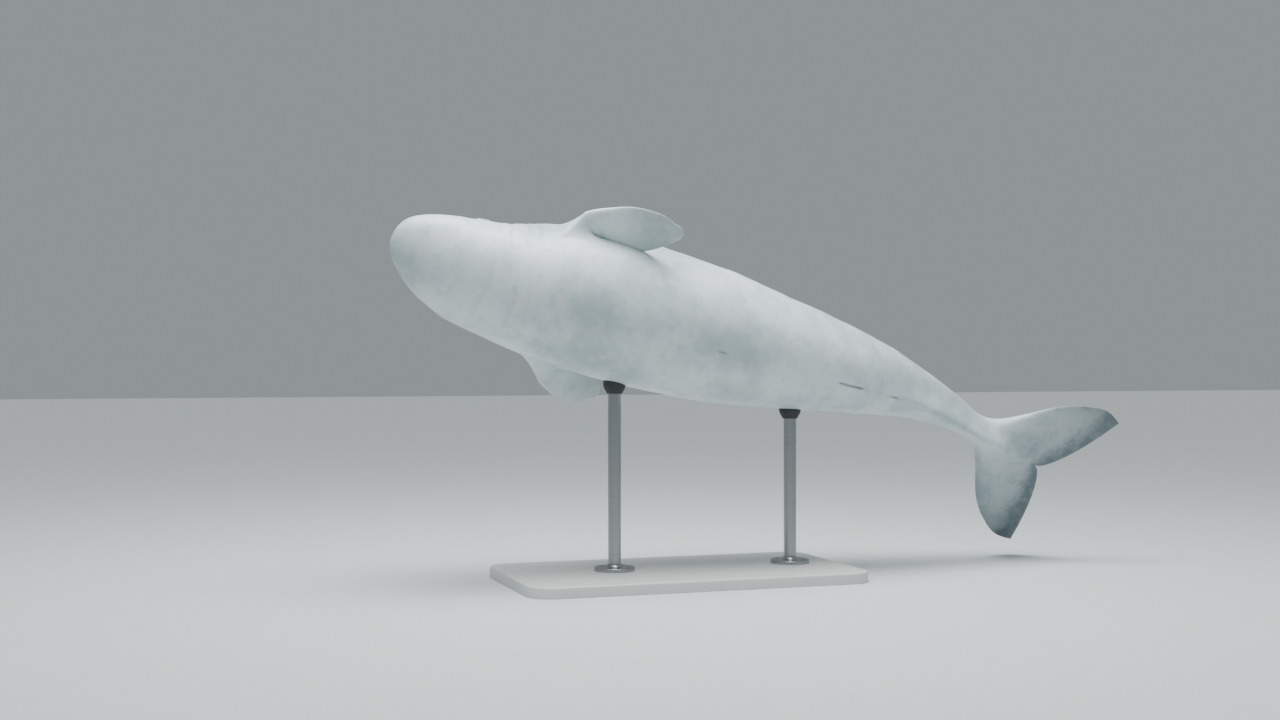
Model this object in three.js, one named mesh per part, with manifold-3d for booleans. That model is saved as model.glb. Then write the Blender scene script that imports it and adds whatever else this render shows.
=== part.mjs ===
// A young beluga whale, life size, swimming on its side, held by a display stand.
// Millimetres, +Z up. The head points along -X and the tail along +X; the belly faces -Y and the
// left side faces up. The origin is the centre of the underside of the stand's base.
import * as THREE from "three";
import { mergeVertices } from "three/addons/utils/BufferGeometryUtils.js";
import Module from "manifold-3d";

const wasm = await Module();
wasm.setup();

// Driving sizes. LENGTH runs from the snout to the notch of the fluke. Body curves are in per
// cent of it: a station is the distance behind the snout along the spine, and the notch is 100.
const LENGTH = 2800;
const PERCENT = LENGTH / 100;
const SNOUT = new THREE.Vector3(-1060, 20, 1274);
const GAP = 0.3;

// Turns of the spine in degrees at stations: how far it points down towards the tail, how far it
// turns away from the belly side, and how far the belly rolls down.
const SPINE_DOWN = [
  [0, 29], [6, 27.5], [10, 22.5], [14, 15], [18, 11.5], [24, 12], [31, 14], [42, 14],
  [55, 13], [65, 14], [72, 17.5], [80, 24], [86, 28.5], [92, 29], [100, 29],
];
const SPINE_AWAY = [[0, -2], [20, 0], [60, 0], [80, 2], [100, 4]];
const BELLY_ROLL = [[0, 9], [22, 11], [45, 17], [70, 24], [90, 31], [100, 32]];

// Half width, dorsal height, ventral depth and the height of the widest line, which is the
// line of the mouth in the head. Interpolated over the root of the station, so the snout is round.
const HALF_WIDTH = [
  [0, 0], [0.5, 2.0], [1.3, 2.95], [3, 4.15], [5, 5.15], [7, 5.9], [10, 6.7], [14, 7.4],
  [18, 8.3], [24, 9.15], [31, 9.6], [38, 9.45], [45, 9.0], [52, 8.15], [60, 6.85], [68, 5.45],
  [75, 4.1], [81, 2.9], [85, 2.25], [88, 1.95], [89.8, 2.7], [91.6, 4.9], [94, 8.1],
  [96.2, 10.45], [97.8, 11.8], [99.2, 12.4], [100, 11.9],
];
const DORSAL = [
  [0, -2.5], [0.25, -1.65], [0.8, -1.1], [1.3, -0.6], [1.8, 0.5], [2.5, 2.25], [3.3, 3.6],
  [4.6, 4.85], [6.4, 5.65], [8.5, 5.9], [11, 5.75], [14.5, 5.8], [18, 6.45], [24, 7.6], [31, 8.5],
  [39, 8.95], [47, 8.8], [55, 8.1], [63, 7.05], [72, 5.6], [80, 4.4], [86, 3.75], [90, 3.3],
  [94, 2.3], [97, 1.15], [100, 0.03],
];
const VENTRAL = [
  [0, -2.5], [0.25, -3.4], [0.8, -3.95], [2, -4.6], [4, -5.35], [7, -6.2], [10, -6.95],
  [14, -7.7], [18, -8.4], [24, -9.2], [31, -9.7], [39, -9.8], [47, -9.35], [55, -8.4],
  [63, -7.05], [72, -5.4], [80, -4.2], [86, -3.55], [90, -3.1], [94, -2.1], [97, -1.05],
  [100, -0.03],
];
const WIDEST_HEIGHT = [
  [0, -2.5], [1, -2.6], [3, -2.6], [5, -2.45], [7, -2.0], [8.5, -1.55], [12, -0.8],
  [18, -0.2], [25, 0], [60, 0], [100, 0],
];

// How far the leading edges of the fluke lie behind the spine's own station.
const FLUKE_START = 88;
const FLUKE_SWEEP = [
  [88, 0], [89.8, 0.3], [91.6, 0.9], [94, 1.35], [96.2, 2.15], [97.8, 3.3], [99.2, 4.9],
  [100, 6.2],
];
const NOTCH_POWER = 0.62;
const FLUKE_FLEX = 0.9;
const FLUKE_HALF_SPAN = 13;
const FLUKE_MIDDLE = 95;

// Sharp keels over and under the tail stock, and the low ridge that stands for a back fin.
const KEEL_START = 66;
const KEEL_WIDTH = 1.45;
const KEEL_FLANK = 0.42;
const RIDGE = { from: 46, to: 68, height: 0.42, spread: 7 };

// The mouth: a groove along the widest line, with a lip above and below it, which fades out
// between the stations given.
const MOUTH = {
  corner: 7.6, fade: [6.4, 7.9], depth: 5, halfWidth: 2.6, lipHeight: 2.2, lipOffset: 8,
};
// The block under the line of the mouth that parts the lower jaw from the head.
const JAW_TOOL = { rows: 16, ahead: 1.2, halfWidth: 350, depth: 400 };

// Where the eyes, ear openings, blowhole and the marks of the belly lie: station, and degrees
// round the body from the left side over the back.
const EYE = { station: 9.9, angle: 9, radius: 14.6, sunk: 8.4 };
const LIDS = { length: 15, height: 10, thickness: 11, tube: 0.34, raise: 0.5 };
const EAR = { station: 13.4, angle: 4, radius: 2.6, depth: 7 };
const BLOWHOLE = { station: 9.6, angle: 87, radius: 29, slit: 3.8, depth: 12, sweep: 66 };
const BELLY_SLITS = [
  { station: 43.5, length: 26, width: 7, depth: 5 },
  { station: 64, length: 120, width: 4.5, depth: 10 },
  { station: 71.3, length: 34, width: 5.5, depth: 8 },
];

// Flippers: station and angle of the root and length; the directions in which the root leaves the
// body, the blade runs and its flat side faces, as parts of the body's rear, belly and outward
// directions at the root.
const FLIPPERS = {
  left: {
    side: 1, station: 22.6, angle: 17, length: 395,
    leave: [0.6, 0.3, 0.72], along: [0.95, 0.3, 0.08], face: [-0.3, 0.9, -0.42],
  },
  right: {
    side: -1, station: 22.8, angle: 4, length: 390,
    leave: [0.68, -0.3, 0.66], along: [0.82, -0.55, 0.14], face: [0.54, 0.8, 0.22],
  },
};
// Leading and trailing edge, and half thickness, in per cent of the flipper's length.
const FLIPPER_LEADING = [
  [0, 15], [10, 13], [20, 14], [34, 18], [50, 21.5], [68, 21], [84, 16.5], [94, 11], [99, 6], [100, 3],
];
const FLIPPER_TRAILING = [
  [0, -15], [10, -12], [20, -12], [30, -14.5], [42, -19], [56, -22.5], [70, -19.5], [84, -12],
  [94, -5], [99, 0.5], [100, 3],
];
const FLIPPER_HALF_THICKNESS = [
  [0, 6.5], [10, 5], [20, 4.2], [40, 3.2], [70, 2.1], [92, 1.2], [99, 0.6], [100, 0.3],
];
const FLIPPER_ROOT_DEPTH = 14;
const FLIPPER_BEND = 32;
const FLIPPER_CAMBER = 0.3;

// The stand: a flat base with two round rods, each under a soft saddle.
const BASE = { length: 1300, width: 700, height: 40, corner: 90, bevel: 6 };
const ROD = { radius: 24, footRadius: 75, footHeight: 14, fillet: 16, stations: [31, 57] };
const ROD_NAMES = ["front", "rear"];
const SADDLE = { neck: 28, radius: 42, height: 34, flare: 26 };
// Where the skin above a rod is looked for: stations either way of the rod's own, and degrees.
const BELOW = { reach: 3, step: 0.25, from: 140, to: 240, turn: 2 };

// Cuts between the parts of the body, at stations.
const CUTS = { head: 15.5, neck: 20.6, front: 36.5, middle: 53, rear: 69, stock: 81, tail: 90 };

const COLORS = {
  skin: 0xc9d6d8, fluke: 0x8b999d, eye: 0x1c1613, rod: 0x8c8f91, saddle: 0x2b2e31, base: 0xe2e0da,
};

// How fine the solids are: points round the body, and rows in the snout, head, trunk and fluke,
// each run with the station at its end.
const AROUND = 40;
const ROWS = {
  snout: { count: 12, end: 6 }, head: { count: 8, end: 16 }, trunk: { count: 34, end: FLUKE_START },
  fluke: { count: 14 },
};
const FLIPPER_MESH = { rows: 17, sides: 20, crowding: 1.7 };
// Half the span over which a direction on the skin is measured.
const TANGENT = { station: 0.3, degrees: 2 };

// A natural cubic spline through the knots [x, y].
function spline(knots) {
  const x = knots.map((knot) => knot[0]);
  const y = knots.map((knot) => knot[1]);
  const last = x.length - 1;
  const bend = new Array(last + 1).fill(0);
  const pivot = new Array(last + 1).fill(0);
  for (let i = 1; i < last; i++) {
    const before = x[i] - x[i - 1];
    const after = x[i + 1] - x[i];
    const slopeChange = (y[i + 1] - y[i]) / after - (y[i] - y[i - 1]) / before;
    const scale = 2 * (before + after) - before * pivot[i - 1];
    pivot[i] = after / scale;
    bend[i] = (6 * slopeChange - before * bend[i - 1]) / scale;
  }
  for (let i = last - 1; i > 0; i--) bend[i] -= pivot[i] * bend[i + 1];
  return (at) => {
    const value = Math.min(Math.max(at, x[0]), x[last]);
    let i = 0;
    while (i < last - 1 && value > x[i + 1]) i++;
    const span = x[i + 1] - x[i];
    const b = (value - x[i]) / span;
    const a = 1 - b;
    const cubic = ((a * a * a - a) * bend[i] + (b * b * b - b) * bend[i + 1]) * span * span / 6;
    return a * y[i] + b * y[i + 1] + cubic;
  };
}

// The same over the square root of x, which rounds the shape at x = 0.
function roundSpline(knots) {
  const curve = spline(knots.map(([x, y]) => [Math.sqrt(x), y]));
  return (at) => curve(Math.sqrt(Math.max(at, 0)));
}

function smoothStep(from, to, value) {
  const t = Math.min(Math.max((value - from) / (to - from), 0), 1);
  return t * t * (3 - 2 * t);
}

const down = spline(SPINE_DOWN);
const away = spline(SPINE_AWAY);
const roll = spline(BELLY_ROLL);
const halfWidth = roundSpline(HALF_WIDTH);
const dorsal = roundSpline(DORSAL);
const ventral = roundSpline(VENTRAL);
const widestHeight = roundSpline(WIDEST_HEIGHT);
const flukeSweep = spline(FLUKE_SWEEP);

// Directions of the body at a station: towards the tail, the left side, the back and the belly.
function directions(station) {
  const pitch = THREE.MathUtils.degToRad(down(station));
  const turn = THREE.MathUtils.degToRad(away(station));
  const rolled = THREE.MathUtils.degToRad(roll(station));
  const rear = new THREE.Vector3(
    Math.cos(pitch) * Math.cos(turn),
    Math.cos(pitch) * Math.sin(turn),
    -Math.sin(pitch),
  );
  const up = new THREE.Vector3(0, 0, 1).addScaledVector(rear, -rear.z).normalize();
  const side = new THREE.Vector3().crossVectors(rear, up);
  const left = up.clone().multiplyScalar(Math.cos(rolled)).addScaledVector(side, Math.sin(rolled));
  const belly = side.clone().multiplyScalar(Math.cos(rolled)).addScaledVector(up, -Math.sin(rolled));
  return { rear, left, belly, back: belly.clone().negate() };
}

// The spine, walked in short steps from the snout.
const STEP = 0.25;
const walked = [SNOUT.clone()];
for (let station = 0; station < 100; station += STEP) {
  const heading = directions(station + STEP / 2).rear;
  walked.push(walked.at(-1).clone().addScaledVector(heading, STEP * PERCENT));
}
function spine(station) {
  if (station < 0) return SNOUT.clone().addScaledVector(directions(0).rear, station * PERCENT);
  const place = Math.min(station / STEP, walked.length - 1.001);
  const i = Math.floor(place);
  return walked[i].clone().lerp(walked[i + 1], place - i);
}

// Narrows the section towards its crest, so that the tail stock has a keel above and below.
function keel(station, across) {
  const amount = smoothStep(KEEL_START, FLUKE_START, station);
  const crest = KEEL_FLANK + (1 - KEEL_FLANK) * Math.exp(-((across / KEEL_WIDTH) ** 2));
  return 1 - amount + amount * crest;
}

// Groove and lips of the mouth: how far the skin moves out, from the distance to the mouth line.
function mouthRelief(station, distance) {
  const fade = 1 - smoothStep(...MOUTH.fade, station);
  const groove = MOUTH.depth * Math.exp(-((distance / MOUTH.halfWidth) ** 2));
  const lips = MOUTH.lipHeight * Math.exp(-(((distance - MOUTH.lipOffset) / MOUTH.lipOffset) ** 2));
  return fade * (lips - groove);
}

// A point of the skin. The angle runs from the left side (0) over the back (90) to the right
// side (180) and under the belly (270). Grow moves the skin out by that many millimetres.
function skinPoint(station, degrees, grow = 0) {
  const angle = THREE.MathUtils.degToRad(degrees);
  const across = Math.cos(angle);
  const high = Math.sin(angle);
  const middle = widestHeight(station) * PERCENT;
  const edge = (high >= 0 ? dorsal(station) : ventral(station)) * PERCENT;
  const width = halfWidth(station) * PERCENT;
  const shape = keel(station, (width * across) / PERCENT);
  const ridge = station > RIDGE.from && station < RIDGE.to
    ? RIDGE.height * PERCENT * Math.sin((Math.PI * (station - RIDGE.from)) / (RIDGE.to - RIDGE.from))
      * Math.exp(-(((degrees - 90) / RIDGE.spread) ** 2))
    : 0;
  const reach = Math.abs(edge - middle);
  const relief = mouthRelief(station, Math.abs(high) * reach);
  const y = width * across + (relief + grow) * across;
  const z = middle + reach * high * shape + (ridge + grow) * high;
  const { rear, left, back } = directions(station);
  const point = spine(station).addScaledVector(left, y).addScaledVector(back, z);
  if (station > FLUKE_START) {
    const out = Math.abs(across);
    const share = (station - FLUKE_START) / (100 - FLUKE_START);
    const power = 2 + (NOTCH_POWER - 2) * share ** 3;
    point.addScaledVector(rear, flukeSweep(station) * PERCENT * out ** power);
    point.addScaledVector(back, FLUKE_FLEX * PERCENT * (y / (FLUKE_HALF_SPAN * PERCENT)) ** 2 * share);
  } else {
    point.addScaledVector(rear, -relief * Math.max(0, 1 - station));
  }
  return point;
}

// Angles round the body, closer together beside the mouth line on both sides.
const MOUTH_ANGLES = [1.1, 2.4, 4.6];
const FIRST_PLAIN_ANGLE = 9;
function ringAngles() {
  const top = [0];
  for (const offset of MOUTH_ANGLES) top.push(offset);
  const inner = AROUND / 2 - 2 * MOUTH_ANGLES.length - 1;
  const span = 180 - 2 * FIRST_PLAIN_ANGLE;
  for (let i = 0; i <= inner; i++) top.push(FIRST_PLAIN_ANGLE + (span * i) / inner);
  for (const offset of [...MOUTH_ANGLES].reverse()) top.push(180 - offset);
  top.push(180);
  const under = top.slice(1, -1).reverse().map((degrees) => 360 - degrees);
  return [...top, ...under];
}
const ANGLES = ringAngles();

// Stations from the snout to the trailing edge of the fluke, closest at the snout.
function ringStations() {
  const list = [];
  const addRun = (count, from, to, shape) => {
    for (let i = 1; i <= count; i++) list.push(from + (to - from) * shape(i / count));
  };
  addRun(ROWS.snout.count, 0, ROWS.snout.end, (share) => share ** 2);
  addRun(ROWS.head.count, ROWS.snout.end, ROWS.head.end, (share) => share);
  addRun(ROWS.trunk.count, ROWS.head.end, ROWS.trunk.end, (share) => share);
  addRun(ROWS.fluke.count, ROWS.trunk.end, 100, (share) => Math.sin((Math.PI / 2) * share));
  return list;
}

// Turns rows of points into a solid. Each row is a closed ring with the same number of points;
// the solid is closed by a point before the first row and by close(index, rows) at the last.
function solidFromRings(first, rings, closeLast) {
  const positions = [first.x, first.y, first.z];
  for (const ring of rings) for (const p of ring) positions.push(p.x, p.y, p.z);
  const count = rings[0].length;
  const index = [];
  const vertex = (row, column) => 1 + row * count + (column % count);
  for (let j = 0; j < count; j++) index.push(0, vertex(0, j), vertex(0, j + 1));
  for (let i = 0; i < rings.length - 1; i++) {
    for (let j = 0; j < count; j++) {
      index.push(vertex(i, j), vertex(i + 1, j), vertex(i + 1, j + 1));
      index.push(vertex(i, j), vertex(i + 1, j + 1), vertex(i, j + 1));
    }
  }
  closeLast(index, positions, (column) => vertex(rings.length - 1, column), count);
  const geometry = new THREE.BufferGeometry();
  geometry.setAttribute("position", new THREE.Float32BufferAttribute(positions, 3));
  geometry.setIndex(index);
  return solidFromGeometry(geometry);
}

// Closes the last ring across its thickness, as the trailing edge of the fluke is closed.
function closeFlat(index, positions, vertex, count) {
  for (let j = 0; j < count / 2; j++) {
    if (j > 0) index.push(vertex(j), vertex(count - j), vertex(j + 1));
    if (j < count / 2 - 1) {
      index.push(vertex(j + 1), vertex(count - j), vertex(count - j - 1));
    }
  }
}

// Closes the last ring with a point at its middle.
function closeRound(index, positions, vertex, count) {
  const middle = new THREE.Vector3();
  const p = new THREE.Vector3();
  for (let j = 0; j < count; j++) middle.add(p.fromArray(positions, vertex(j) * 3));
  middle.divideScalar(count);
  const tip = positions.length / 3;
  positions.push(middle.x, middle.y, middle.z);
  for (let j = 0; j < count; j++) index.push(tip, vertex(j + 1), vertex(j));
}

function solidFromGeometry(geometry) {
  const bare = geometry.clone();
  bare.deleteAttribute("normal");
  bare.deleteAttribute("uv");
  const merged = mergeVertices(bare, 1e-4);
  return new wasm.Manifold(
    new wasm.Mesh({
      numProp: 3,
      vertProperties: merged.getAttribute("position").array,
      triVerts: new Uint32Array(merged.index.array),
    }),
  );
}

function wholeBody(grow) {
  const tip = spine(0).addScaledVector(directions(0).back, widestHeight(0) * PERCENT);
  tip.addScaledVector(directions(0).rear, -grow);
  const rings = ringStations().map((station) => ANGLES.map((a) => skinPoint(station, a, grow)));
  return solidFromRings(tip, rings, closeFlat);
}

// A flipper: foil sections along a line that leaves the body and bends back, from a root inside
// the body to a round tip.
const leading = spline(FLIPPER_LEADING);
const trailing = spline(FLIPPER_TRAILING);
const thickness = spline(FLIPPER_HALF_THICKNESS);
function flipper({ side, station, angle, length, leave, along, face }) {
  const { rear, left, belly } = directions(station);
  const outward = left.clone().multiplyScalar(side);
  const mix = ([r, b, o]) => new THREE.Vector3()
    .addScaledVector(rear, r)
    .addScaledVector(belly, b)
    .addScaledVector(outward, o)
    .normalize();
  const unit = length / 100;
  const heading = (share) => mix(leave).lerp(mix(along), smoothStep(0, FLIPPER_BEND, share)).normalize();
  const centre = skinPoint(station, side > 0 ? 360 - angle : 180 + angle);
  centre.addScaledVector(heading(0), -FLIPPER_ROOT_DEPTH * unit);
  const { rows: steps, sides, crowding } = FLIPPER_MESH;
  const rings = [];
  let reached = -FLIPPER_ROOT_DEPTH;
  for (let i = 0; i <= steps; i++) {
    const share = 100 - (100 + FLIPPER_ROOT_DEPTH) * (1 - i / (steps + 1)) ** crowding;
    centre.addScaledVector(heading((share + reached) / 2), (share - reached) * unit);
    reached = share;
    const blade = heading(share);
    const flat = mix(face).addScaledVector(blade, -mix(face).dot(blade)).normalize();
    const chord = new THREE.Vector3().crossVectors(blade, flat).multiplyScalar(-side);
    const middle = (leading(share) + trailing(share)) / 2;
    const half = (leading(share) - trailing(share)) / 2;
    const ring = [];
    for (let j = 0; j < sides; j++) {
      const turn = (2 * Math.PI * j) / sides;
      const foil = Math.sin(turn) * (1 + FLIPPER_CAMBER * Math.cos(turn));
      ring.push(centre.clone()
        .addScaledVector(chord, (middle + half * Math.cos(turn)) * unit)
        .addScaledVector(flat, -side * thickness(share) * foil * unit));
    }
    rings.push(ring);
  }
  const start = new THREE.Vector3();
  for (const p of rings[0]) start.add(p);
  start.divideScalar(sides);
  return solidFromRings(start, rings, closeRound);
}

// Keeps what lies behind one station and ahead of another, with half a gap at each cut.
function between(solid, from, to) {
  let part = solid;
  if (from !== null) part = trimAt(part, from, 1);
  if (to !== null) part = trimAt(part, to, -1);
  return part;
}
function trimAt(solid, station, sign) {
  const normal = directions(station).rear.multiplyScalar(sign);
  const offset = normal.dot(spine(station)) + GAP / 2;
  return solid.trimByPlane(normal.toArray(), offset);
}

// Keeps the largest closed surface and drops loose scraps.
function largest(solid) {
  const pieces = solid.decompose();
  return pieces.reduce((best, piece) => (piece.volume() > best.volume() ? piece : best));
}

// A frame on the skin: its point, outward normal, and the directions to the rear and round it.
function skinFrame(station, degrees) {
  const point = skinPoint(station, degrees);
  const { station: along, degrees: across } = TANGENT;
  const rear = skinPoint(station + along, degrees).sub(skinPoint(station - along, degrees)).normalize();
  const round = skinPoint(station, degrees + across).sub(skinPoint(station, degrees - across)).normalize();
  const normal = new THREE.Vector3().crossVectors(rear, round).normalize();
  return { point, rear, round: new THREE.Vector3().crossVectors(normal, rear), normal };
}

// Places a geometry made with x to the rear, y round the body and z outward.
function onSkin(geometry, { point, rear, round, normal }, depth) {
  const matrix = new THREE.Matrix4().makeBasis(rear, round, normal);
  matrix.setPosition(point.clone().addScaledVector(normal, -depth));
  return geometry.applyMatrix4(matrix);
}

// The body under the line of the mouth, ahead of its corners; grow moves its top and rear faces.
function jawTool(grow) {
  const rings = [];
  const { rows, ahead, halfWidth: half, depth } = JAW_TOOL;
  for (let i = 0; i <= rows; i++) {
    const behind = i === rows ? grow / PERCENT : 0;
    const station = ((MOUTH.corner + ahead) * i) / rows - ahead + behind;
    const { left, back } = directions(Math.max(station, 0));
    const top = widestHeight(station) * PERCENT + grow;
    const place = (y, z) => spine(station).addScaledVector(left, y).addScaledVector(back, z);
    rings.push([place(half, top), place(-half, top), place(-half, -depth), place(half, -depth)]);
  }
  const start = new THREE.Vector3();
  for (const p of rings[0]) start.add(p);
  return solidFromRings(start.divideScalar(4), rings, closeRound);
}

function ellipsoid(x, y, z, columns, rows) {
  return new THREE.SphereGeometry(1, columns, rows).scale(x, y, z);
}

function eyeBall(degrees, grow) {
  const radius = EYE.radius + grow;
  const ball = ellipsoid(radius, radius, radius, 18, 12);
  return solidFromGeometry(onSkin(ball, skinFrame(EYE.station, degrees), EYE.sunk));
}

// Lids: an almond-shaped rim round the eye, sunk in the skin.
function eyeLids(degrees) {
  const ring = new THREE.TorusGeometry(1, LIDS.tube, 6, 24);
  ring.scale(LIDS.length, LIDS.height, LIDS.thickness);
  return solidFromGeometry(onSkin(ring, skinFrame(EYE.station, degrees), -LIDS.raise));
}

function earOpening(degrees) {
  const cone = new THREE.CylinderGeometry(EAR.radius, EAR.radius / 3, 2 * EAR.depth, 12);
  cone.rotateX(Math.PI / 2);
  return solidFromGeometry(onSkin(cone, skinFrame(EAR.station, degrees), 0));
}

// The blowhole: a crescent slit whose horns point ahead.
function blowholeSlit() {
  const half = THREE.MathUtils.degToRad(BLOWHOLE.sweep);
  const shape = new THREE.Shape();
  shape.absarc(0, 0, BLOWHOLE.radius + BLOWHOLE.slit / 2, -half, half, false);
  shape.absarc(0, 0, BLOWHOLE.radius - BLOWHOLE.slit / 2, half, -half, true);
  shape.closePath();
  const slit = new THREE.ExtrudeGeometry(shape, {
    depth: 2 * BLOWHOLE.depth, bevelEnabled: false, curveSegments: 18,
  });
  slit.translate(-BLOWHOLE.radius, 0, 0);
  const frame = skinFrame(BLOWHOLE.station, BLOWHOLE.angle);
  return solidFromGeometry(onSkin(slit, frame, BLOWHOLE.depth));
}

function bellySlit({ station, length, width, depth }) {
  const lens = ellipsoid(length / 2, width / 2, depth, 20, 10);
  return solidFromGeometry(onSkin(lens, skinFrame(station, 270), 0));
}

function material(color, roughness) {
  return new THREE.MeshStandardMaterial({ color, roughness, metalness: 0 });
}
const skinMaterial = material(COLORS.skin, 0.45);
const flukeMaterial = material(COLORS.fluke, 0.45);
const eyeMaterial = material(COLORS.eye, 0.1);
const rodMaterial = new THREE.MeshStandardMaterial({
  color: COLORS.rod, roughness: 0.35, metalness: 1,
});
const saddleMaterial = material(COLORS.saddle, 0.7);
const baseMaterial = material(COLORS.base, 0.35);

const model = new THREE.Group();
function addMesh(name, geometry, look) {
  const mesh = new THREE.Mesh(geometry, look);
  mesh.name = name;
  model.add(mesh);
}
function addSolid(name, solid, look) {
  const { vertProperties, triVerts } = largest(solid).getMesh();
  const geometry = new THREE.BufferGeometry();
  geometry.setAttribute("position", new THREE.BufferAttribute(new Float32Array(vertProperties), 3));
  geometry.setIndex(new THREE.BufferAttribute(new Uint32Array(triVerts), 1));
  addMesh(name, geometry, look);
}

// The head, with its lower jaw, eyes, ear openings and blowhole.
function addHead(body) {
  const left = EYE.angle;
  const right = 180 - EYE.angle;
  let head = between(body, null, CUTS.head).add(eyeLids(left)).add(eyeLids(right));
  head = head.subtract(eyeBall(left, GAP)).subtract(eyeBall(right, GAP));
  head = head.subtract(earOpening(EAR.angle)).subtract(earOpening(180 - EAR.angle));
  head = head.subtract(blowholeSlit());
  addSolid("head", head.subtract(jawTool(GAP)), skinMaterial);
  addSolid("lower_jaw", head.intersect(jawTool(0)), skinMaterial);
  addSolid("eye_left", eyeBall(left, 0), eyeMaterial);
  addSolid("eye_right", eyeBall(right, 0), eyeMaterial);
}

function addTrunk(body) {
  let marked = body;
  for (const slit of BELLY_SLITS) marked = marked.subtract(bellySlit(slit));
  addSolid("neck", between(marked, CUTS.head, CUTS.neck), skinMaterial);
  addSolid("torso_front", between(marked, CUTS.neck, CUTS.front), skinMaterial);
  addSolid("torso_middle", between(marked, CUTS.front, CUTS.middle), skinMaterial);
  addSolid("torso_rear", between(marked, CUTS.middle, CUTS.rear), skinMaterial);
  addSolid("tail_front", between(marked, CUTS.rear, CUTS.stock), skinMaterial);
  addSolid("tail_stock", between(marked, CUTS.stock, CUTS.tail), skinMaterial);
}

// The fluke, parted into its two lobes along the middle.
function addFluke(body) {
  const fluke = between(body, CUTS.tail, null);
  const { left } = directions(FLUKE_MIDDLE);
  const middle = left.dot(spine(FLUKE_MIDDLE));
  addSolid("fluke_left", fluke.trimByPlane(left.toArray(), middle + GAP / 2), flukeMaterial);
  const right = left.clone().negate();
  addSolid("fluke_right", fluke.trimByPlane(right.toArray(), GAP / 2 - middle), flukeMaterial);
}

function addFlippers(grownBody) {
  for (const [side, sizes] of Object.entries(FLIPPERS)) {
    addSolid(`flipper_${side}`, flipper(sizes).subtract(grownBody), skinMaterial);
  }
}

// The base: a flat board with round corners and a bevelled top edge.
function addBase() {
  const x = BASE.length / 2 - BASE.bevel;
  const y = BASE.width / 2 - BASE.bevel;
  const r = BASE.corner - BASE.bevel;
  const shape = new THREE.Shape();
  shape.absarc(x - r, y - r, r, 0, Math.PI / 2, false);
  shape.absarc(r - x, y - r, r, Math.PI / 2, Math.PI, false);
  shape.absarc(r - x, r - y, r, Math.PI, 1.5 * Math.PI, false);
  shape.absarc(x - r, r - y, r, 1.5 * Math.PI, 2 * Math.PI, false);
  shape.closePath();
  const board = new THREE.ExtrudeGeometry(shape, {
    depth: BASE.height - 2 * BASE.bevel, bevelThickness: BASE.bevel, bevelSize: BASE.bevel,
    bevelSegments: 2, curveSegments: 10,
  });
  board.translate(0, 0, BASE.bevel);
  addSolid("stand_base", solidFromGeometry(board), baseMaterial);
}

// The height of the skin right under the spine at a station: the lowest point near that upright.
function skinBelow(station) {
  const above = spine(station);
  let lowest = above.z;
  for (let at = station - BELOW.reach; at <= station + BELOW.reach; at += BELOW.step) {
    for (let degrees = BELOW.from; degrees < BELOW.to; degrees += BELOW.turn) {
      const p = skinPoint(at, degrees);
      if (Math.hypot(p.x - above.x, p.y - above.y) < ROD.radius) lowest = Math.min(lowest, p.z);
    }
  }
  return lowest;
}

// Turns a profile of [radius, height] about an upright axis through a point.
function turned(profile, { x, y }) {
  const outline = profile.map(([radius, height]) => new THREE.Vector2(radius, height));
  const lathe = new THREE.LatheGeometry(outline, 32).rotateX(Math.PI / 2);
  return solidFromGeometry(lathe.translate(x, y, 0));
}

// The rods: each stands on a round foot on the base, under a saddle that fits the skin above it.
function addRods(grownBody) {
  ROD.stations.forEach((station, i) => {
    const axis = spine(station);
    const skin = skinBelow(station);
    const bottom = BASE.height + GAP;
    const foot = bottom + ROD.footHeight;
    const top = skin - SADDLE.height;
    const profile = [[0, bottom], [ROD.footRadius, bottom], [ROD.footRadius, foot]];
    for (let k = 0; k <= 4; k++) {
      const turn = (Math.PI / 2) * (k / 4);
      profile.push([
        ROD.radius + ROD.fillet * (1 - Math.sin(turn)),
        foot + ROD.fillet * (1 - Math.cos(turn)),
      ]);
    }
    profile.push([ROD.radius, top - GAP], [0, top - GAP]);
    addSolid(`stand_rod_${ROD_NAMES[i]}`, turned(profile, axis), rodMaterial);
    const saddle = turned([
      [0, top], [SADDLE.neck, top], [SADDLE.radius, top + SADDLE.flare],
      [SADDLE.radius, axis.z], [0, axis.z],
    ], axis);
    addSolid(`stand_saddle_${ROD_NAMES[i]}`, saddle.subtract(grownBody), saddleMaterial);
  });
}

const body = wholeBody(0);
const grownBody = wholeBody(GAP);
addHead(body);
addTrunk(body);
addFluke(body);
addFlippers(grownBody);
addBase();
addRods(grownBody);

export default model;
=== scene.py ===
"""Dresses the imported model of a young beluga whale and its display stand.

The whale swims on its side: head toward -X, tail toward +X, belly facing -Y, left side up.
One skin is worked out as a grid of stations along the spine and angles round the body, with the
flippers grown out of it; the eyes and the stand are pieces of their own. Metres throughout.
"""

import logging
import math
from dataclasses import dataclass, field
from enum import Enum
from typing import Callable, Sequence

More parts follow.
